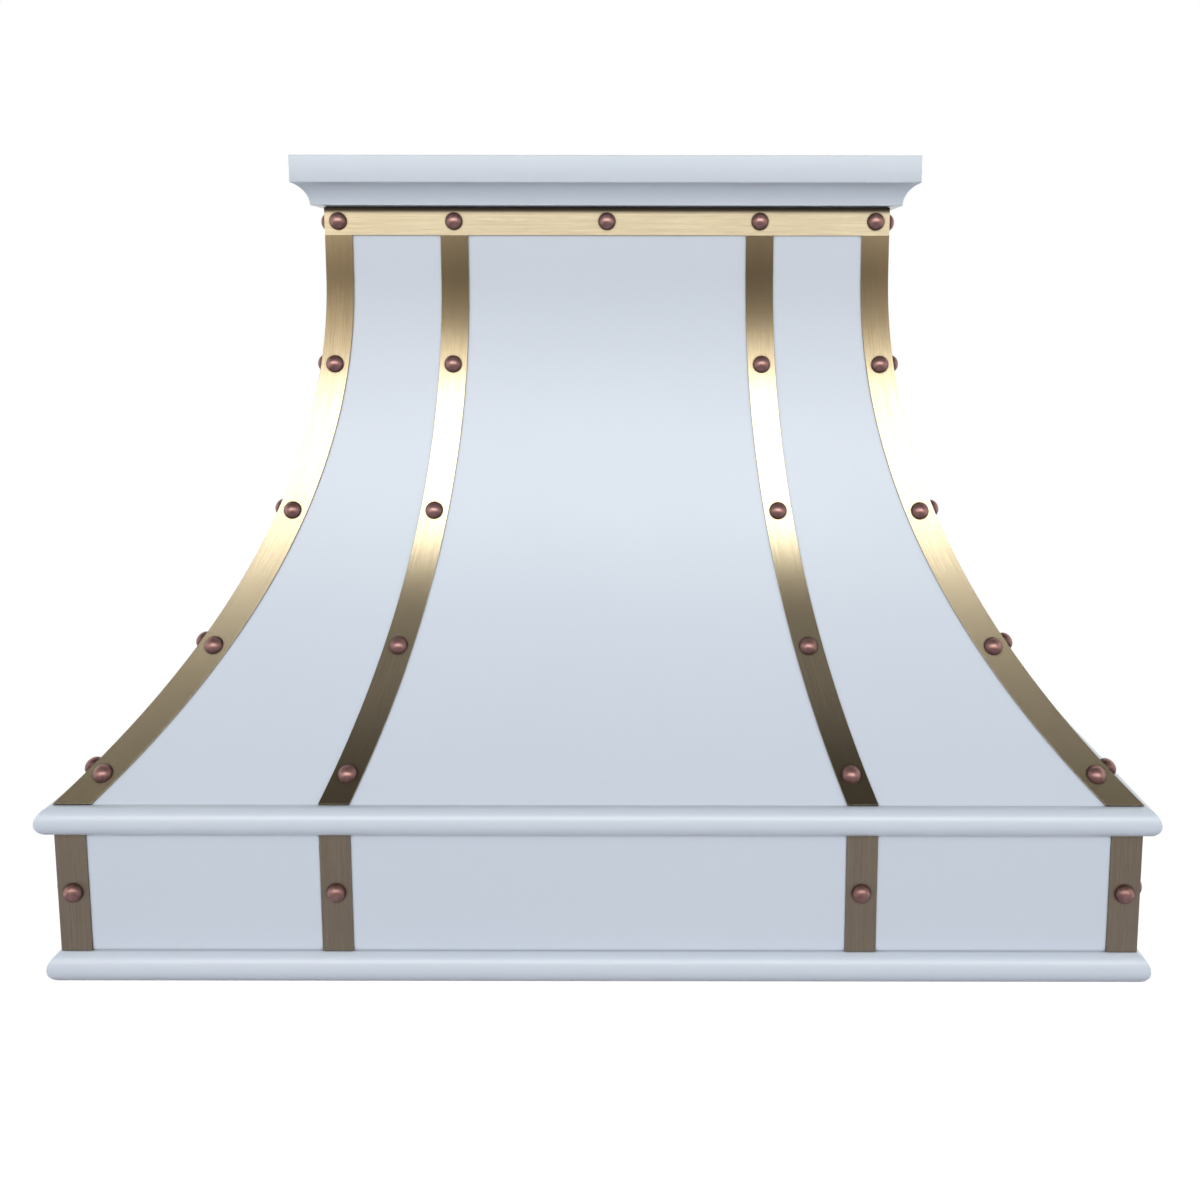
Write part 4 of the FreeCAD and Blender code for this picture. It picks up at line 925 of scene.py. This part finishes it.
def top_flag_tone(finish):
    """Grey next to the softbox and dark further back, paler on both sides."""
    place = finish.split(finish.place)
    back = finish.math("DIVIDE", finish.math("SUBTRACT", place["Y"], SOFTBOX_Y), TOP_FLAG_Y - SOFTBOX_Y)
    dark = colour(0.02, 0.016, 0.012)
    depth = finish.ramp(back, (0.0, colour(0.16, 0.15, 0.13)), (0.12, colour(0.12, 0.11, 0.10)),
                        (0.19, colour(0.25, 0.25, 0.27)), (0.24, colour(0.22, 0.22, 0.24)), (0.30, dark))
    beside = finish.share_of(finish.math("ABSOLUTE", place["X"]), 1.5, 2.8)
    return finish.between(beside, depth, colour(0.31, 0.275, 0.233))


def floor_flag_tone(finish):
    return finish.between(finish.clouds(0.8), colour(0.25, 0.24, 0.28), colour(0.27, 0.26, 0.30))


def flags():
    """Cards in front, above and below that only reflections show."""
    low = flat_card("flag_low", FLAG_HALF, (LOW_FLAG_Y, FLOOR_HEIGHT), (LOW_FLAG_Y, LOW_FLAG_TOP),
                    flag_finish("studio_flag_low", low_flag_tone))
    top = flat_card("flag_top", FLAG_HALF, (SOFTBOX_Y, SOFTBOX_TOP), (TOP_FLAG_Y, TOP_FLAG_TOP),
                    flag_finish("studio_flag_top", top_flag_tone))
    floor = flat_card("flag_floor", FLAG_HALF, (LOW_FLAG_Y, FLOOR_FLAG_HEIGHT),
                      (FLOOR_FLAG_Y, FLOOR_FLAG_HEIGHT), flag_finish("studio_flag_floor", floor_flag_tone))
    for flag in (low, top, floor):
        flag.visible_camera = False
        flag.visible_diffuse = False
        flag.visible_shadow = False


def softbox(name, place, turn, size, power, tint):
    """Upright soft light that faces the back wall, or is turned about the vertical from there."""
    light = bpy.data.lights.new(name, "AREA")
    light.shape = "RECTANGLE"
    light.size, light.size_y = size
    light.energy = power
    light.color = tint
    lamp = bpy.data.objects.new(name, light)
    lamp.location = place
    lamp.rotation_euler = (QUARTER_TURN, 0.0, turn)
    lamp.visible_camera = False
    bpy.context.scene.collection.objects.link(lamp)
    return lamp


def lamps():
    """One softbox in front that shines in the brass, and fills all round that show in nothing."""
    cool, violet, white = (0.99, 1.0, 0.97), (0.98, 0.965, 1.0), (1.0, 1.0, 1.0)
    middle = (SOFTBOX_LOW + SOFTBOX_TOP) / 2
    size = (SOFTBOX_WIDTH, SOFTBOX_TOP - SOFTBOX_LOW)
    softbox("softbox", (0.0, SOFTBOX_Y, middle), 0.0, size, SOFTBOX_POWER, cool)
    front = softbox("fill_front", (0.0, SOFTBOX_Y, FILL_HEIGHT), 0.0, FILL_SIZE, FILL_POWER, violet)
    front.data.spread = FILL_SPREAD
    fills = [front]
    sides = (("fill_right", SIDE_DISTANCE, SIDE_Y, QUARTER_TURN),
             ("fill_left", -SIDE_DISTANCE, SIDE_Y, -QUARTER_TURN),
             ("fill_back", 0.0, SIDE_DISTANCE, 2 * QUARTER_TURN))
    for name, x, y, turn in sides:
        fills.append(softbox(name, (x, y, SIDE_HEIGHT), turn, SIDE_SIZE, SIDE_POWER, white))
    for fill in fills:
        fill.visible_glossy = False


def world_light():
    """White where the camera, metal or glass looks; for the rest a plain fill that is stronger overhead."""
    world = bpy.data.worlds.new("studio")
    world.use_nodes = True
    tree = Tree(world.node_tree)
    background = world.node_tree.nodes["Background"]
    tree.feed(background.inputs["Color"], colour(1.0, 1.0, 1.0))
    direction = tree.node("ShaderNodeTexCoord").outputs["Generated"]
    height = tree.math("MAXIMUM", tree.split(direction)["Z"], 0.0)
    sky = tree.spread(height, SKY_LEVEL, SKY_OVERHEAD)
    tree.feed(background.inputs["Strength"], tree.spread(looked_at(tree), sky, 1.0))
    bpy.context.scene.world = world


# Camera, solved from the corners and rivets of the hood in the photograph

PICTURE = 1200.0
SENSOR = 36.0
FOCAL = 1170.568
CENTRE = (667.104, 446.734)
CAMERA_PLACE = Vector((0.075248, -1.812373, 0.749497))
YAW, PITCH, ROLL = math.radians(-0.033), math.radians(-7.068), math.radians(0.069)


def camera():
    data = bpy.data.cameras.new("camera")
    data.sensor_width = SENSOR
    data.lens = SENSOR * FOCAL / PICTURE
    data.shift_x = (PICTURE / 2 - CENTRE[0]) / PICTURE
    data.shift_y = (CENTRE[1] - PICTURE / 2) / PICTURE
    view = bpy.data.objects.new("camera", data)
    forward = Vector((math.sin(YAW) * math.cos(PITCH), math.cos(YAW) * math.cos(PITCH), math.sin(PITCH)))
    level = Vector((math.cos(YAW), -math.sin(YAW), 0.0))
    upward = level.cross(forward)
    right = level * math.cos(ROLL) + upward * math.sin(ROLL)
    up = upward * math.cos(ROLL) - level * math.sin(ROLL)
    turn = Matrix((right, up, -forward)).transposed()
    view.matrix_world = Matrix.Translation(CAMERA_PLACE) @ turn.to_4x4()
    bpy.context.scene.collection.objects.link(view)
    bpy.context.scene.camera = view


# The scene, piece by piece

finish_cad_nodes()
bell_sheets()
bell_straps()
rivets()
round_moulding("lower_moulding", "moulding_lower")
round_moulding("upper_moulding", "moulding_upper")
crown()
flat_card("floor", FLOOR_HALF, (-FLOOR_HALF, FLOOR_HEIGHT), (FLOOR_HALF, FLOOR_HEIGHT), floor_finish())
flags()
lamps()
world_light()
camera()
bpy.context.scene.view_settings.view_transform = "Standard"
